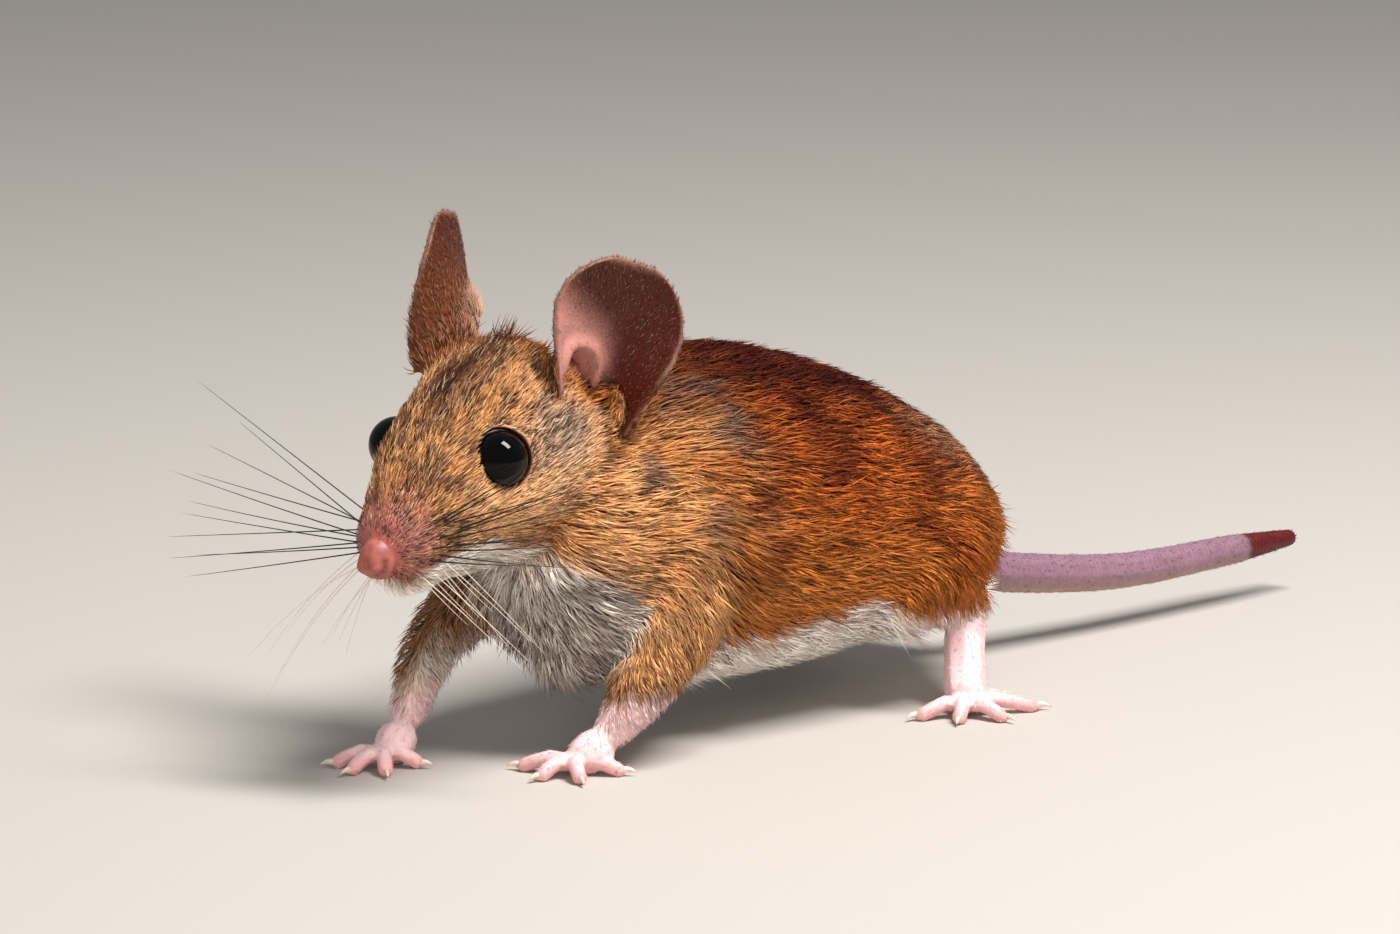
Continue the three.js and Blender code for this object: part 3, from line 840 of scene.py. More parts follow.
def chances(base, place, rng):
    """Numbers for each hair: its tone, its lightness at the root, and how much is frosted or dark."""
    count = len(base)
    golden, on_ear = at_roots(marks["golden"], place), at_roots(marks["ear"], place)
    found = {"tone": np.clip(0.5 + (rng.random(count) - 0.5) * (1 + 0.6 * golden), 0, 1)}
    guard_odds = GUARD_ODDS + GUARD_ON_FACE * at_roots(marks["golden"] - 0.85 * marks["cheek"], place)
    guard_odds = guard_odds * (1 - 0.9 * at_roots(marks["sock"], place))
    # white hairs carry no guard hairs, except where painted shade darkens the white under the chest
    guard_odds = guard_odds * (1 - at_roots(marks["white"] * (1 - marks["chest_shade"]), place))
    guard_odds = guard_odds * (1 + 0.9 * ripple(base, 1.8, 70))
    frosted = rng.random(count) < 0.24 * golden + 0.5 * on_ear
    found["frost"] = frosted * rng.uniform(0.1, 0.6, count) * (1 - 0.6 * on_ear)
    found["light"] = at_roots(np.maximum.reduce([marks["white"], marks["sock"], marks["foot"]]), place)
    found["guard"] = (rng.random(count) < guard_odds) * rng.uniform(0.5, 1, count)
    return found


print("guard hairs on the golden face: about", round(GUARD_ODDS + GUARD_ON_FACE, 2), "of all")


# %% [markdown]
# ## One piece of the coat
# All hairs of a region are one joined mesh. A hair carries the markings of its root along its whole length,
# and a number that runs from root to tip, for its dark root.

# %% One coat piece
ALONG_HAIR = np.array([0, 0, 0, 0.5, 0.5, 0.5, 1.0])  # root ring, middle ring and tip


def coat_piece(name, density, count, length, width, height, seed):
    """A joined mesh of hairs. Density, length, width and height are given for every skin point, in mm."""
    rng = np.random.default_rng(seed)
    place = roots(count, density, rng)
    base, paths, radius, across, over = hair_paths(place, length, width, height, rng)
    points, triangles, each = spines(paths, radius, across, over)
    points[:, 2] = np.maximum(points[:, 2], 0.01)
    piece = new_mesh(name, points, triangles)
    for mark, strength in marks.items():
        keep(piece, mark, np.repeat(at_roots(strength, place), each))
    for kind, values in chances(base, place, rng).items():
        keep(piece, kind, np.repeat(values, each))
    keep(piece, "along", np.tile(ALONG_HAIR, count))
    patches_uv = (unwrap(base)[:, None] + PATCH_SPOTS * PATCH).reshape(-1, 2)[triangles.ravel()]
    layer = piece.data.uv_layers.new(name="OFBake")
    layer.data.foreach_set("uv", patches_uv.astype(np.float32).ravel())
    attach(piece, "root")
    print(name, count, "hairs,", len(triangles), "triangles")
    return piece


print("a hair's points along it, from root to tip:", ALONG_HAIR)


# %% [markdown]
# ## How long the hairs are
# The face is short and close, shorter still towards the nose and beside the eyes. The body's hair is about
# 5 mm long, and a leg's hair shortens down to the foot. There is a small mane between the ears, a beard under
# the chin, and hair that would cross an ear's root or the tail's root is kept short.

# %% Where hair grows
root_ahead, root_left, root_up = in_head(skin_points).T
root_behind = skin_points[:, 0] - BROW[0]
root_tall = skin_points[:, 2]
gap = eye_gap(skin_points)
on_ears, on_base, on_tuft = marks["ear"], marks["ear_base"], marks["tuft"]
on_head = np.maximum(share_of(["head"], 3), on_base + on_tuft)
on_body = share_of(["neck", "trunk"], 3)
on_legs = share_of(FORELEGS + HIND_LEGS, 3)
bare_ends = share_of(FOREFEET + HIND_FEET + TAIL, 2)
furred = (1 - on_ears + on_base + 4.0 * on_tuft) * (1 - bare_ends) * (1 - marks["nose"])
chin_hair = on_head * marks["white"]
beard = on_head * step(-8.2, -10.4, root_up) * step(9, 5, root_ahead)
mane = bump(root_ahead + 12, 3) * bump(root_left + 3, 2.6) * step(1, 4, root_up)
mane = mane * (1 - on_base) * (1 - on_ears)
beside_ear = step(0.01, 0.2, share_of(EARS, 160)) * (1 - on_base)
tail_near = step(0.02, 0.3, share_of(TAIL, 60))
print("furred share of the skin:", round(float(np.minimum(furred, 1).mean()), 2))

# %% [markdown]
# Length, thickness and height are worked out apart, because the flank's long hair is thick but lies close,
# while the fine hair of the throat stands out.

# %% Length, thickness and height
face_reach = np.interp(root_ahead, [-12, -6, 0, 6, 10, 12], [2.6, 2.8, 2.5, 1.9, 1.2, 0.8])
face_reach = face_reach * (0.6 + 0.4 * step(0.5, 3, gap))
body_reach = 5.2 - 2.4 * step(52, 68, root_behind) - 2.0 * step(20, 9, root_behind)
leg_reach = np.interp(root_tall, [3, 8, 18], [0.9, 2.0, 4.6])
reach = on_head * face_reach + on_body * body_reach + on_legs * leg_reach
reach = reach * (1 - 0.72 * beside_ear) * (1 - on_base) + 1.3 * on_base + 2.6 * on_tuft + 0.5 * mane
reach = np.maximum(reach * (1 - 0.6 * tail_near) + 0.9 * chin_hair + 1.8 * beard, 0.6)

girth = np.interp(root_ahead, [-12, 0, 10], [0.16, 0.13, 0.09]) * on_head + 0.18 * on_body
girth = np.maximum(girth + on_legs * np.interp(root_tall, [3, 8, 18], [0.08, 0.12, 0.18]), 0.08)

height = (1.25 + 0.25 * on_body) * np.maximum(depth, 0.12) + 0.1 * on_base + 0.5 * on_tuft
height = height + 0.6 * chin_hair + 1.2 * beard
height = height * (1 - 0.35 * step(50, 66, root_behind)) + 0.6 * mane
lifted_face = (1 - marks["muzzle"]) * step(0.6, 2, gap) * step(-9, -5, root_ahead)
height = height + 0.35 * on_head * lifted_face
print("hair is from", reach.min().round(1), "to", reach.max().round(1), "mm long")

# %% [markdown]
# ## The coat in pieces
# The face has short dense hair in two halves. The body's long coat comes in three lengths of the trunk, cut
# so that each has as many hairs. Limbs are thinly furred, and ears, feet and tail carry a down of tiny hairs.

# %% Coat of the face
near_eye = step(0.25, 0.6, gap)
face_density = on_head * furred * near_eye * (1 - 0.35 * marks["muzzle"])
coats = [
    coat_piece("face_coat_left", face_density * (root_left > 0), 19500, reach, girth, height, 101),
    coat_piece("face_coat_right", face_density * (root_left <= 0), 14000, reach, girth, height, 102),
]

# %% [markdown]
# The body's three pieces meet at planes across the trunk. The planes are where a small sample of roots,
# sorted from front to back, falls into thirds.

# %% Coat of the body
SAMPLE_SEED = 7
body_density = on_body * furred
sample = roots(6000, body_density, np.random.default_rng(SAMPLE_SEED))
cuts = np.quantile(at_roots(root_behind, sample), [0, 1 / 3, 2 / 3, 1])
cuts[[0, -1]] = -99, 199  # beyond both ends of the body
for number in range(3):
    here = body_density * (root_behind >= cuts[number]) * (root_behind < cuts[number + 1])
    coats.append(coat_piece(f"body_coat_{number + 1}", here, 18500, reach, girth, height, 110 + number))

# %% [markdown]
# The legs' hair thins out over the shin. The down is short everywhere except at the backs of the ears' roots,
# and the pink cup of the ear is nearly bare.

# %% Coat of the legs, and down
leg_density = on_legs * furred * (1 - 0.8 * shin)
coats.append(coat_piece("leg_coat", leg_density, 10000, reach, girth, height, 120))
down = on_ears * (1 - 0.85 * marks["cup"]) + 0.5 * marks["foot"] + 0.35 * marks["tail"]
down_reach = 0.55 + 0.9 * on_ears * (1 - ear_inner) * step(0.5, 0.0, ear_height)
down_girth, down_height = np.full(len(down), 0.07), np.full(len(down), 0.18)
coats.append(coat_piece("down", down, 9500, down_reach, down_girth, down_height, 130))


# %% [markdown]
# ## Colours
# Colours are written as the eye names them, in sRGB, and turned into the linear light that the shaders want:
# below 0.04045 a value is divided by 12.92, and above it is ((value + 0.055) / 1.055) to the power of 2.4.

# %% Colour and node tools
def linear(shade):
    """An sRGB hex colour as linear red, green, blue and alpha."""
    parts = np.array([int(shade[k : k + 2], 16) for k in (1, 3, 5)]) / 255
    parts = np.where(parts <= 0.04045, parts / 12.92, ((parts + 0.055) / 1.055) ** 2.4)
    return (*parts.tolist(), 1.0)


def add(tree, kind, settings, inputs):
    """Adds one node. Settings are its own properties. Inputs are values, or outputs that feed the sockets."""
    node = tree.nodes.new(kind)
    for name, value in settings.items():
        setattr(node, name, value)
    for socket, value in inputs.items():
        if isinstance(value, bpy.types.NodeSocket):
            tree.links.new(value, node.inputs[socket])
        else:
            node.inputs[socket].default_value = value
    return node


def material(name):
    """A new empty node material, its tree and its output node."""
    made = bpy.data.materials.new(name)
    made.use_nodes = True
    made.node_tree.nodes.clear()
    return made, made.node_tree, made.node_tree.nodes.new("ShaderNodeOutputMaterial")


print("middle grey #808080 as linear light:", round(linear("#808080")[0], 3))


# %% [markdown]
# ## The shades of a wood mouse
# Fur colour is pigment, and each marking has one shade. The list is laid like coats of glaze, each over those
# before it by its own strength, so a later shade hides an earlier one where both are strong. One list serves
# the skin and the hairs.

# %% Shades
TAWNY = "#c47532"
PELAGE = [
    ("rust", "#b65b22"),
    ("mahogany", "#4d1404"),
    ("buff", "#e0a770"),
    ("golden", "#d0935c"),
    ("streak", "#7c4c30"),
    ("mottle", "#74300f"),
    ("slate", "#6d5c56"),
    ("crown", "#50291f"),
    # painted highlight on the top of the haunch
    ("pale", "#cf9870"),
    ("wrist", "#6c4533"),
    ("cheek", "#f4bd88"),
    ("grey", "#a08a7d"),
    ("muzzle", "#9d5f5f"),
    ("blush", "#ad6a62"),
    ("lid", "#4b2b20"),
    ("white", "#fbf3ea"),
    # painted shade under the chest, between the forelegs
    ("chest_shade", "#7c6152"),
    ("sock", "#f6e6e1"),
    ("ear", "#451305"),
    ("ear_base", "#7a4428"),
    ("cup", "#b98178"),
    # painted shade in the hollow of the ear's opening
    ("deep_shade", "#96453f"),
    ("tuft", "#b9937f"),
    ("rim", "#855f50"),
    ("foot", "#f1cccf"),
    ("toe", "#dd9c98"),
    ("tail", "#8b6979"),
    ("tail_under", "#bd9a84"),
    ("tip", "#571214"),
]


def pelage(tree):
    """The shade of skin or coat: each marking's colour laid over those before it by its strength."""
    shade = linear(TAWNY)
    for name, colour in PELAGE:
        mask = add(tree, "ShaderNodeAttribute", {"attribute_name": name}, {}).outputs["Fac"]
        laid = {0: mask, 6: shade, 7: linear(colour)}
        shade = add(tree, "ShaderNodeMix", {"data_type": "RGBA"}, laid).outputs[2]
    return shade


print(len(PELAGE), "shades over", TAWNY)


# %% [markdown]
# ## Hair
# A wild hair is slate at the root and coloured above, and among its neighbours stand dark guard hairs and
# pale frosted ones. The dark roots are that slate and also painted shade, the shade that lies deep in a coat.
# Without them the coat looks flat, and without the odd hairs it looks like carpet. White hairs are pale down
# to the root, so their roots are darkened less.

# %% Hair of the coat
# the roots' colour: the hair's slate, together with painted shade from deep in the coat
ROOT_SLATE_AND_SHADE = "#3b2a24"
GUARD_SHADE = "#35190f"
FROST_SHADE = "#edcda4"


def fur():
    """The coat: shades of the markings times a tone for each hair, with slate and painted shade at the roots,
    guards and frost.
    """
    made, tree, out = material("hair of the coat")
    lit = pelage(tree)
    read = {}
    for name in ("tone", "along", "guard", "light", "frost"):
        read[name] = add(tree, "ShaderNodeAttribute", {"attribute_name": name}, {}).outputs["Fac"]
    ramp = add(tree, "ShaderNodeMapRange", {}, {0: read["tone"], 3: 0.75, 4: 1.35}).outputs[0]
    lit = add(tree, "ShaderNodeVectorMath", {"operation": "SCALE"}, {0: lit, "Scale": ramp}).outputs[0]
    # painted shade with the slate: the root band darkens by 0.45, and by only 0.12 on white hairs
    deep_shade = add(tree, "ShaderNodeMapRange", {}, {0: read["light"], 3: 0.45, 4: 0.12}).outputs[0]
    band = {0: read["along"], 1: 0.0, 2: 0.5, 3: deep_shade, 4: 0.0}  # darkest at the root, gone half way up
    root = add(tree, "ShaderNodeMapRange", {}, band).outputs[0]
    for mask, colour in ((root, ROOT_SLATE_AND_SHADE), (read["guard"], GUARD_SHADE), (read["frost"], FROST_SHADE)):
        laid = {0: mask, 6: lit, 7: linear(colour)}
        lit = add(tree, "ShaderNodeMix", {"data_type": "RGBA"}, laid).outputs[2]
    shader = add(tree, "ShaderNodeBsdfPrincipled", {}, {"Base Color": lit, "Roughness": 0.6})
    shader.inputs["Specular IOR Level"].default_value = 0.15
    tree.links.new(shader.outputs[0], out.inputs[0])
    return made


# soft and dull, with only a faint sheen where many hairs lie together: the eye reads it as deep dry fur
coat_stuff = fur()
for coat in coats:
    coat.data.materials.append(coat_stuff)
print(coat_stuff.name, "on", len(coats), "pieces, with", len(coat_stuff.node_tree.nodes), "nodes")


# %% [markdown]
# ## Skin
# The same shades colour the skin under the hair, so no pale ground shows through a thin coat. Where it is
# bare it is moist and a little cloudy, light goes into it, and it has pores. The tail has rings of scales,
# which are a sine along the animal's length.

# %% Bare skin
BLOTCH = 1.8 * MM  # from cloud to cloud
PORE = 0.35 * MM
TAIL_RING = 0.6 * MM
RELIEF = 0.12 * MM
GLOW_DEPTH = 0.6 * MM  # how far light goes into skin
RAW_NOSE = "#a95850"


def bare_skin():
    """The skin: clouded shades of the markings, and a relief of pores + 0.35 sin(2π x / ring) on the tail."""
    made, tree, out = material("mouse skin")
    shade = pelage(tree)
    place = add(tree, "ShaderNodeTexCoord", {}, {}).outputs["Object"]
    clouds = {"Vector": place, "Scale": 1 / BLOTCH, "Detail": 3.0}
    blotch = add(tree, "ShaderNodeTexNoise", {}, clouds).outputs[0]
    ramp = add(tree, "ShaderNodeMapRange", {}, {0: blotch, 1: 0.3, 2: 0.7, 3: 0.88, 4: 1.07}).outputs[0]
    lit = add(tree, "ShaderNodeVectorMath", {"operation": "SCALE"}, {0: shade, "Scale": ramp}).outputs[0]
    nose = add(tree, "ShaderNodeAttribute", {"attribute_name": "nose"}, {}).outputs["Fac"]
    laid = {0: nose, 6: lit, 7: linear(RAW_NOSE)}
    lit = add(tree, "ShaderNodeMix", {"data_type": "RGBA"}, laid).outputs[2]

    pits = {"Vector": place, "Scale": 1 / PORE, "Detail": 2.0}
    pores = add(tree, "ShaderNodeTexNoise", {}, pits).outputs[0]
    apart = add(tree, "ShaderNodeSeparateXYZ", {}, {0: place}).outputs[0]
    turns = {0: apart, 1: 2 * math.pi / TAIL_RING}
    phase = add(tree, "ShaderNodeMath", {"operation": "MULTIPLY"}, turns).outputs[0]
    wave = add(tree, "ShaderNodeMath", {"operation": "SINE"}, {0: phase}).outputs[0]
    on_tail = add(tree, "ShaderNodeAttribute", {"attribute_name": "tail"}, {}).outputs["Fac"]
    rings = add(tree, "ShaderNodeMath", {"operation": "MULTIPLY"}, {0: wave, 1: on_tail}).outputs[0]
    relief = {0: rings, 1: 0.35, 2: pores}
    relief = add(tree, "ShaderNodeMath", {"operation": "MULTIPLY_ADD"}, relief).outputs[0]
    bumped = {"Height": relief, "Strength": 0.5, "Distance": RELIEF}
    bumped = add(tree, "ShaderNodeBump", {}, bumped).outputs[0]

    surface = {"Base Color": lit, "Roughness": 0.45, "Normal": bumped}
    shader = add(tree, "ShaderNodeBsdfPrincipled", {}, surface)
    shader.inputs["Specular IOR Level"].default_value = 0.3
    shader.inputs["Subsurface Weight"].default_value = 0.25
    shader.inputs["Subsurface Scale"].default_value = GLOW_DEPTH
    shader.inputs["Subsurface Radius"].default_value = (1.0, 0.35, 0.25)
    tree.links.new(shader.outputs[0], out.inputs[0])
    return made


# warm and half moist: red light comes out of the thin ears and toes, so they look alive and not painted
skin_stuff = bare_skin()
skin.data.materials.append(skin_stuff)
print(skin_stuff.name, "with", len(skin_stuff.node_tree.nodes), "nodes")


# %% [markdown]
# ## Stuffs of one colour
# Eyes, lids, nose, claws and whiskers each have one colour, broken by faint clouds so that nothing looks
# moulded. One function makes them all, and what differs is given as constants for the shader.

# %% One-colour materials
CLOUD = 0.9 * MM


def plain(name, shade, roughness, mottle=0.12, inside=None, **constants):
    """A one-colour material, cloudy by the share mottle. Inside is a shade laid over where "inside" is 1."""
    made, tree, out = material(name)
    place = add(tree, "ShaderNodeTexCoord", {}, {}).outputs["Object"]
    clouds = {"Vector": place, "Scale": 1 / CLOUD, "Detail": 2.0}
    cloud = add(tree, "ShaderNodeTexNoise", {}, clouds).outputs[0]
    spread = {0: cloud, 1: 0.3, 2: 0.7, 3: 1 - mottle, 4: 1 + mottle / 2}
    ramp = add(tree, "ShaderNodeMapRange", {}, spread).outputs[0]
    scaled = {0: linear(shade)[:3], "Scale": ramp}
    lit = add(tree, "ShaderNodeVectorMath", {"operation": "SCALE"}, scaled).outputs[0]
    if inside:
        mask = add(tree, "ShaderNodeAttribute", {"attribute_name": "inside"}, {}).outputs["Fac"]
        laid = {0: mask, 6: lit, 7: linear(inside)}
        lit = add(tree, "ShaderNodeMix", {"data_type": "RGBA"}, laid).outputs[2]
    shader = add(tree, "ShaderNodeBsdfPrincipled", {}, {"Base Color": lit, "Roughness": roughness})
    for socket, value in constants.items():
        shader.inputs[socket.replace("_", " ")].default_value = value
    tree.links.new(shader.outputs[0], out.inputs[0])
    return made


# a black mirror: nothing shows but one small sharp window of light, which makes the eye look wet and awake
eye_stuff = plain("black wet eye", "#020203", 0.05, Specular_IOR_Level=0.17)
# nearly black, moist: a thin line of shine that sets the eye into the face
lid_stuff = plain("dark moist eyelid", "#24130f", 0.35)
# raw pink, blotched and soft, with painted shade in the nostrils: a damp nose and not a bead
nose_stuff = plain("bare wet nose", "#a55a50", 0.45, mottle=0.35, inside="#4a1513", Subsurface_Weight=0.3)
nose_stuff.node_tree.nodes["Principled BSDF"].inputs["Subsurface Scale"].default_value = GLOW_DEPTH
# pale and slightly polished, like a fingernail
claw_stuff = plain("pale horn claw", "#e8cfc4", 0.35)
print("made:", ", ".join(stuff.name for stuff in (eye_stuff, lid_stuff, nose_stuff, claw_stuff)))


# %% [markdown]
# ## Eyes
# A mouse's eye is a large black ball that stands well out of the face. A ready-made sphere would do, but
# this one is built here, because the nose is shaped from the same points.

# %% Eyes
SPHERE_ROWS, SPHERE_COLUMNS = 48, 64


def ball(rows, columns):
    """A closed unit sphere: its points and triangles, poles as single points."""
    lat = np.linspace(0, np.pi, rows + 1)[1:-1]
    lon = np.arange(columns) * 2 * np.pi / columns
    x, y = np.outer(np.sin(lat), np.cos(lon)), np.outer(np.sin(lat), np.sin(lon))
    z = np.repeat(np.cos(lat)[:, None], columns, axis=1)
    points = np.concatenate([[[0, 0, 1]], np.stack([x, y, z], axis=2).reshape(-1, 3), [[0, 0, -1]]])
    k = np.arange(columns)
    after = (k + 1) % columns
    faces = [np.stack([0 * k, 1 + k, 1 + after], axis=1)]
    for r in range(rows - 2):
        low, high = 1 + r * columns, 1 + (r + 1) * columns
        faces.append(np.stack([low + k, high + k, high + after], axis=1))
        faces.append(np.stack([low + k, high + after, low + after], axis=1))
    low = 1 + (rows - 2) * columns
    faces.append(np.stack([low + k, 0 * k + len(points) - 1, low + after], axis=1))
    return points, np.concatenate(faces)


def small_part(name, points, triangles, stuff):
    """A finished small piece on the one body."""
    piece = new_mesh(name, points, triangles)
    piece.data.materials.append(stuff)
    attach(piece, "root")
    return piece


sphere, sphere_faces = ball(SPHERE_ROWS, SPHERE_COLUMNS)
for eye_side, centre in EYES.items():
    globe = small_part(f"eyeball_{eye_side}", centre + sphere * EYE_RADIUS, sphere_faces, eye_stuff)
    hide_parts(f"eye_{eye_side}")
print("eyes:", round(2 * EYE_RADIUS, 2), "mm across,", len(sphere_faces), "triangles each")


# %% [markdown]
# ## Eyelids
# A thin dark rim frames each eye where the fur stops. It is a torus round the ball's widest circle, seen from
# the way the eye looks: outward, ahead and a little up.

# %% Eyelids
LID_RADIUS = 0.14
LID_SETBACK = 0.1  # the lid's circle lies this far behind the eye's middle
LID_AHEAD, LID_OUT, LID_UP = 0.42, 0.88, 0.18


def ring(centre, axis, major, minor, rows=72, columns=12):
    """A torus: centre + out (major + minor cos b) + axis minor sin b, for out once round the axis."""
    one = unit(np.cross(axis, [0, 0, 1.0]))
    two = np.cross(axis, one)
    a = np.arange(rows) * 2 * np.pi / rows
    b = np.arange(columns) * 2 * np.pi / columns
    out = np.outer(np.cos(a), one) + np.outer(np.sin(a), two)
    points = out[:, None] * (major + minor * np.cos(b))[None, :, None]
    points = points + axis * (minor * np.sin(b))[None, :, None]
    i, j = np.meshgrid(np.arange(rows), np.arange(columns), indexing="ij")
    i2, j2 = (i + 1) % rows, (j + 1) % columns
    p, q, r, s = i * columns + j, i2 * columns + j, i2 * columns + j2, i * columns + j2
    halves = [np.stack(half, axis=-1).reshape(-1, 3) for half in ((p, q, r), (p, r, s))]
    return centre + points.reshape(-1, 3), np.concatenate(halves)


for lid_side, centre in EYES.items():
    axis = unit(LID_AHEAD * AHEAD + SIDES[lid_side] * LID_OUT * LEFT + LID_UP * UP)
    lid_points, lid_faces = ring(centre + axis * -LID_SETBACK, axis, EYE_RADIUS, LID_RADIUS)
    small_part(f"eyelid_{lid_side}", lid_points, lid_faces, lid_stuff)
print("eyelids:", len(lid_faces), "triangles each")

# %% [markdown]
# ## Nose
# The bare end of the nose is a soft bulb. It has a lobe on each side, a wing below it, a curved slit for the
# nostril between them and a groove down the middle. Each is a bell added to or taken from a sphere's radius.

# %% Nose
NOSE_SIZE = np.array([2.75, 1.9, 2.15])  # half its length, width and height
NOSE_AHEAD, NOSE_UP = 12.1, -5.15  # its middle in the head's frame
LOBE = (0.85, 0.46, -0.1)
WING = (0.45, 0.82, -0.40)
SLIT = ((0.58, 0.80, 0.12), (0.62, 0.77, -0.08), (0.70, 0.66, -0.28), (0.80, 0.46, -0.40))


def nose_pad():
    """The bulb's points, the sphere's scaled by 1 + the bells, and how far each lies inside a nostril."""
    swell, inside = np.ones(len(sphere)), np.zeros(len(sphere))

    def away(spot, way):
        """Distance of the sphere's points from a place on it, on the side given by way."""
        return np.linalg.norm(sphere - unit(np.array(spot) * [1, way, 1]), axis=1)

    for way in SIDES.values():
        swell += 0.15 * bump(away(LOBE, way), 0.32)
        swell += 0.12 * bump(away(WING, way), 0.24)
        for spot in SLIT:
            cut = bump(away(spot, way), 0.13)
            swell -= 0.10 * cut
            # the slits are marked for the painted shade laid into the nostrils
            inside = np.maximum(inside, 0.8 * cut)
    swell -= 0.16 * bump(sphere[:, 1], 0.12) * step(-0.2, 0.5, sphere[:, 0]) * step(0.5, 0.1, sphere[:, 2])
    shaped = sphere * swell[:, None] * NOSE_SIZE
    shaped[:, 1] *= 1 - 0.3 * step(0, -1, sphere[:, 2])  # narrower below
    return from_head(NOSE_AHEAD + shaped[:, 0], shaped[:, 1], NOSE_UP + shaped[:, 2]), inside


nose_points, nostrils = nose_pad()
nose_piece = small_part("nose_pad", nose_points, sphere_faces, nose_stuff)
keep(nose_piece, "inside", nostrils)
print("nose pad:", np.ptp(nose_points, axis=0).round(1), "mm")


# %% [markdown]
# ## Whiskers
# Whiskers stand in rows on the muzzle, dark and long above, pale and short below. Each is a spine with many
# rings that leaves along its row's direction and sags as the square of the way along it.

# %% Whiskers
WHISKER_RINGS = 14
WHISKER_STEP = np.array([-0.9, 0.25, 0.1])  # from one root to the next in a row
WHISKER_TIP = 0.012  # the radius just before the point


def whiskers(name, rows, shade, seed, thick):
    """Whiskers in rows: start + s lean reach + s² sag reach, with a radius of thick (1 - s)^0.8 + the tip's.

    A row gives its side, count, root, direction, length and sag, in the head's frame.
    """
    rng = np.random.default_rng(seed)
    shares = np.linspace(0, 1, WHISKER_RINGS)
    paths = []
    for way, count, root, aim, length, sag in rows:
        mirror = np.array([1, way, 1])
        for k in range(count):
            start = (np.array(root) + WHISKER_STEP * k + rng.normal(0, 0.15, 3)) * mirror
            lean = unit(np.array(aim) + rng.normal(0, 0.1, 3)) * mirror
            reach = length * rng.uniform(0.75, 1.05)
            fall = np.outer(shares**2, np.array(sag) * mirror)
            path = start + np.outer(shares, lean) * reach + fall * reach
            paths.append(from_head(*path.T))
    paths = np.array(paths)
    paths[:, :, 2] = np.maximum(paths[:, :, 2], 0.3)
    ways = unit(paths[:, -1] - paths[:, 0])
    across = unit(np.cross(ways, [0, 0, 1.0]))
    radius = thick * (1 - shares) ** 0.8 + WHISKER_TIP + np.zeros((len(paths), 1))
    points, triangles, _ = spines(paths, radius, across, np.cross(across, ways), sides=5)
    # stiff, smooth and a little shiny: a thin clean line against the fur
    small_part(name, points, triangles, plain(name.replace("_", " "), shade, 0.4))
    print(name, len(paths), "whiskers")


DARK, PALE = "#140c0b", "#e6d8c8"
FAR_ROWS = [
    (-1, 3, (10.8, 2.4, -3.4), (0.25, 0.75, 0.75), 22, (-0.10, 0.05, -0.08)),
    (-1, 4, (11.2, 2.9, -4.4), (0.40, 0.85, 0.35), 23, (-0.12, 0.05, -0.06)),
    (-1, 4, (11.2, 3.1, -5.6), (0.50, 0.85, 0.05), 20, (-0.15, 0.05, -0.06)),
]
NEAR_ROWS = [
    (1, 3, (10.0, 2.9, -3.6), (-0.50, 0.75, 0.22), 17, (-0.15, -0.12, -0.08)),
    (1, 4, (10.4, 3.2, -4.8), (-0.55, 0.80, 0.14), 19, (-0.20, -0.15, -0.08)),
    (1, 4, (10.2, 3.4, -6.0), (-0.45, 0.82, -0.06), 15, (-0.22, -0.15, -0.08)),
]
PALE_ROWS = [
    (-1, 5, (11.4, 2.8, -6.8), (0.45, 0.75, -0.40), 14, (0.05, 0.0, -0.35)),
    (-1, 4, (10.8, 2.4, -7.8), (0.30, 0.60, -0.75), 9, (0.0, 0.0, -0.25)),
    (1, 5, (11.0, 3.0, -7.0), (0.05, 0.75, -0.55), 11, (-0.20, 0.0, -0.35)),
    (1, 4, (10.2, 2.6, -8.2), (-0.10, 0.60, -0.80), 7, (-0.20, 0.0, -0.20)),
]
whiskers("dark_whiskers_right", FAR_ROWS, DARK, 31, 0.066)
whiskers("dark_whiskers_left", NEAR_ROWS, DARK, 33, 0.085)
whiskers("pale_whiskers", PALE_ROWS, PALE, 32, 0.045)


# %% [markdown]
# ## Claws
# The toes end in small pale hooks. Each claw begins inside its toe, goes outward from the heel, rises a
# little and turns down to the ground.

# %% Claws
CLAW_RINGS, CLAW_SIDES = 7, 8
CLAW_LONG, CLAW_BACK = 1.6, 1.5  # its length, and how far behind the claw's middle it begins
CLAW_RADIUS = 0.34
CLAW_LOW, CLAW_RISE, CLAW_DROP = 0.55, 0.25, 0.42


def claws(foot):
    """The claws of one foot. At a share s a claw's height is low + rise sin(2.2 s) - drop s²."""
    names = [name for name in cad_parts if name.startswith(f"claw_{foot}_")]
    kind, side_name = foot.split("_")
    heel = middle(f"{kind}foot_{side_name}")
    ends = np.array([middle(name) for name in names])
    ways = unit((ends - heel) * [1, 1, 0])
    shares = np.linspace(0, 1, CLAW_RINGS)
    paths = ends[:, None] + ways[:, None] * (shares * CLAW_LONG - CLAW_BACK)[None, :, None]
    paths[:, :, 2] = CLAW_LOW + CLAW_RISE * np.sin(shares * 2.2) - CLAW_DROP * shares**2
    across = np.stack([-ways[:, 1], ways[:, 0], 0 * ways[:, 0]], axis=1)
    radius = CLAW_RADIUS * (1 - shares**2.4) + np.zeros((len(names), 1))
    points, triangles, _ = spines(paths, radius, across * 0.8, np.cross(across, ways), sides=CLAW_SIDES)
    piece = small_part(f"claws_{foot}", points, triangles, claw_stuff)
    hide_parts(*names)
    print(piece.name, len(names), "claws")


for foot in ("fore_left", "fore_right", "hind_left", "hind_right"):
    claws(foot)


# %% [markdown]
# ## Floor
# A museum model is shown on a plain pale floor. It runs past every edge of the view.

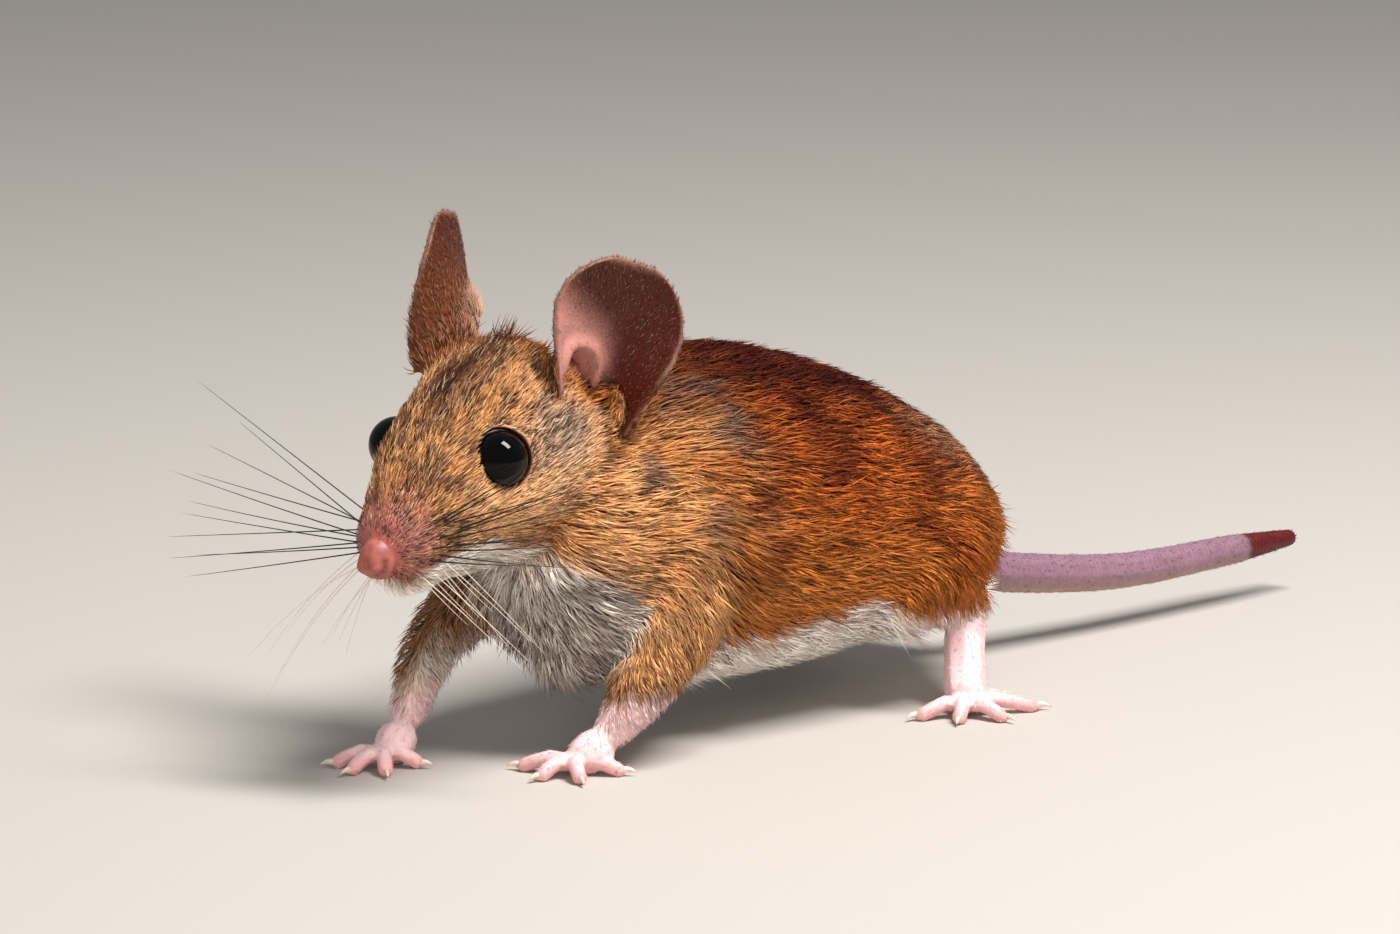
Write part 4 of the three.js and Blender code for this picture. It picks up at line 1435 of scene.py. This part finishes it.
# %% Floor
FLOOR_HALF = 3000
floor_corners = np.array([[-1, -1, 0], [1, -1, 0], [1, 1, 0], [-1, 1, 0]]) * FLOOR_HALF
floor = new_mesh("floor", floor_corners, np.array([[0, 1, 2], [0, 2, 3]]))
# matt and even, so the eye stays on the animal
floor.data.materials.append(plain("pale floor", "#b9b4ae", 0.8, mottle=0.0))
floor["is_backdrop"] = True
print("floor:", 2 * FLOOR_HALF, "mm wide")


# %% [markdown]
# ## Camera
# A long lens, half a metre away, looks at the mouse from its left front and a little from above. Its place
# is given from the brow, and the way it looks as an azimuth and a rise in degrees.

# %% Camera
CAMERA_FROM_BROW = np.array([-329.3, -429.6, 113.5])
AZIMUTH, RISE = math.radians(-40), math.radians(12)
LENS, SENSOR = 150, 36
NEAR_CLIP, FAR_CLIP = 0.01, 20  # in metres


def look(thing, place, aim):
    """Puts a camera or lamp at place, looking at aim. Both are in millimetres."""
    thing.location = Vector(place) * MM
    thing.rotation_euler = Vector(np.subtract(aim, place)).to_track_quat("-Z", "Y").to_euler()


camera_data = bpy.data.cameras.new("camera")
camera_data.lens, camera_data.sensor_width = LENS, SENSOR
camera_data.clip_start, camera_data.clip_end = NEAR_CLIP, FAR_CLIP
camera = bpy.data.objects.new("camera", camera_data)
bpy.context.scene.collection.objects.link(camera)
level = math.cos(RISE)
backward = np.array([math.sin(AZIMUTH) * level, -math.cos(AZIMUTH) * level, math.sin(RISE)])
camera_place = BROW + CAMERA_FROM_BROW
look(camera, camera_place, camera_place - backward * 100)
bpy.context.scene.camera = camera
print("camera:", round(float(np.linalg.norm(CAMERA_FROM_BROW))), "mm from the brow, lens", LENS, "mm")


# %% [markdown]
# ## Light
# The light is soft and comes from above, as on an overcast day. A small bright panel puts a window in each
# eye. A large warm one fills the shadows, and is hidden from reflections so that the eyes keep one light.

# %% Light
SKY = (0.86, 0.87, 0.9, 1)
SKY_STRENGTH = 0.32


def lamp(name, way, away, wide, tall, power, colour):
    """A soft light panel at a distance along way from the head, looking at it. Sizes are in millimetres."""
    light = bpy.data.lights.new(name, "AREA")
    light.shape = "RECTANGLE"
    light.energy, light.color = power, colour
    light.size, light.size_y = wide * MM, tall * MM
    holder = bpy.data.objects.new(name, light)
    bpy.context.scene.collection.objects.link(holder)
    look(holder, BROW + unit(way) * away, BROW)
    print(name, "panel:", power, "W at", away, "mm")
    return holder


lamp("window", (0.19, -0.41, 0.89), 500, 130, 270, 4.5, (1.0, 0.97, 0.93))
fill = lamp("fill", (-0.7, -0.75, 0.3), 1800, 1500, 1200, 13.5, (1.0, 0.95, 0.88))
fill.visible_glossy = False
world = bpy.data.worlds.new("studio")
bpy.context.scene.world = world
world.use_nodes = True
world.node_tree.nodes["Background"].inputs["Color"].default_value = SKY
world.node_tree.nodes["Background"].inputs["Strength"].default_value = SKY_STRENGTH
bpy.context.scene.view_settings.view_transform = "Standard"

# %% [markdown]
# ## Sizes
# The box of the finished animal, with the floor left out, is worked out and printed. The whiskers and the
# tips of the hairs reach past the plain solids.

# %% Sizes
visual_box = [list(corner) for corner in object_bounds()]
print("visual box, mm:", [[round(value / MM, 1) for value in corner] for corner in visual_box])
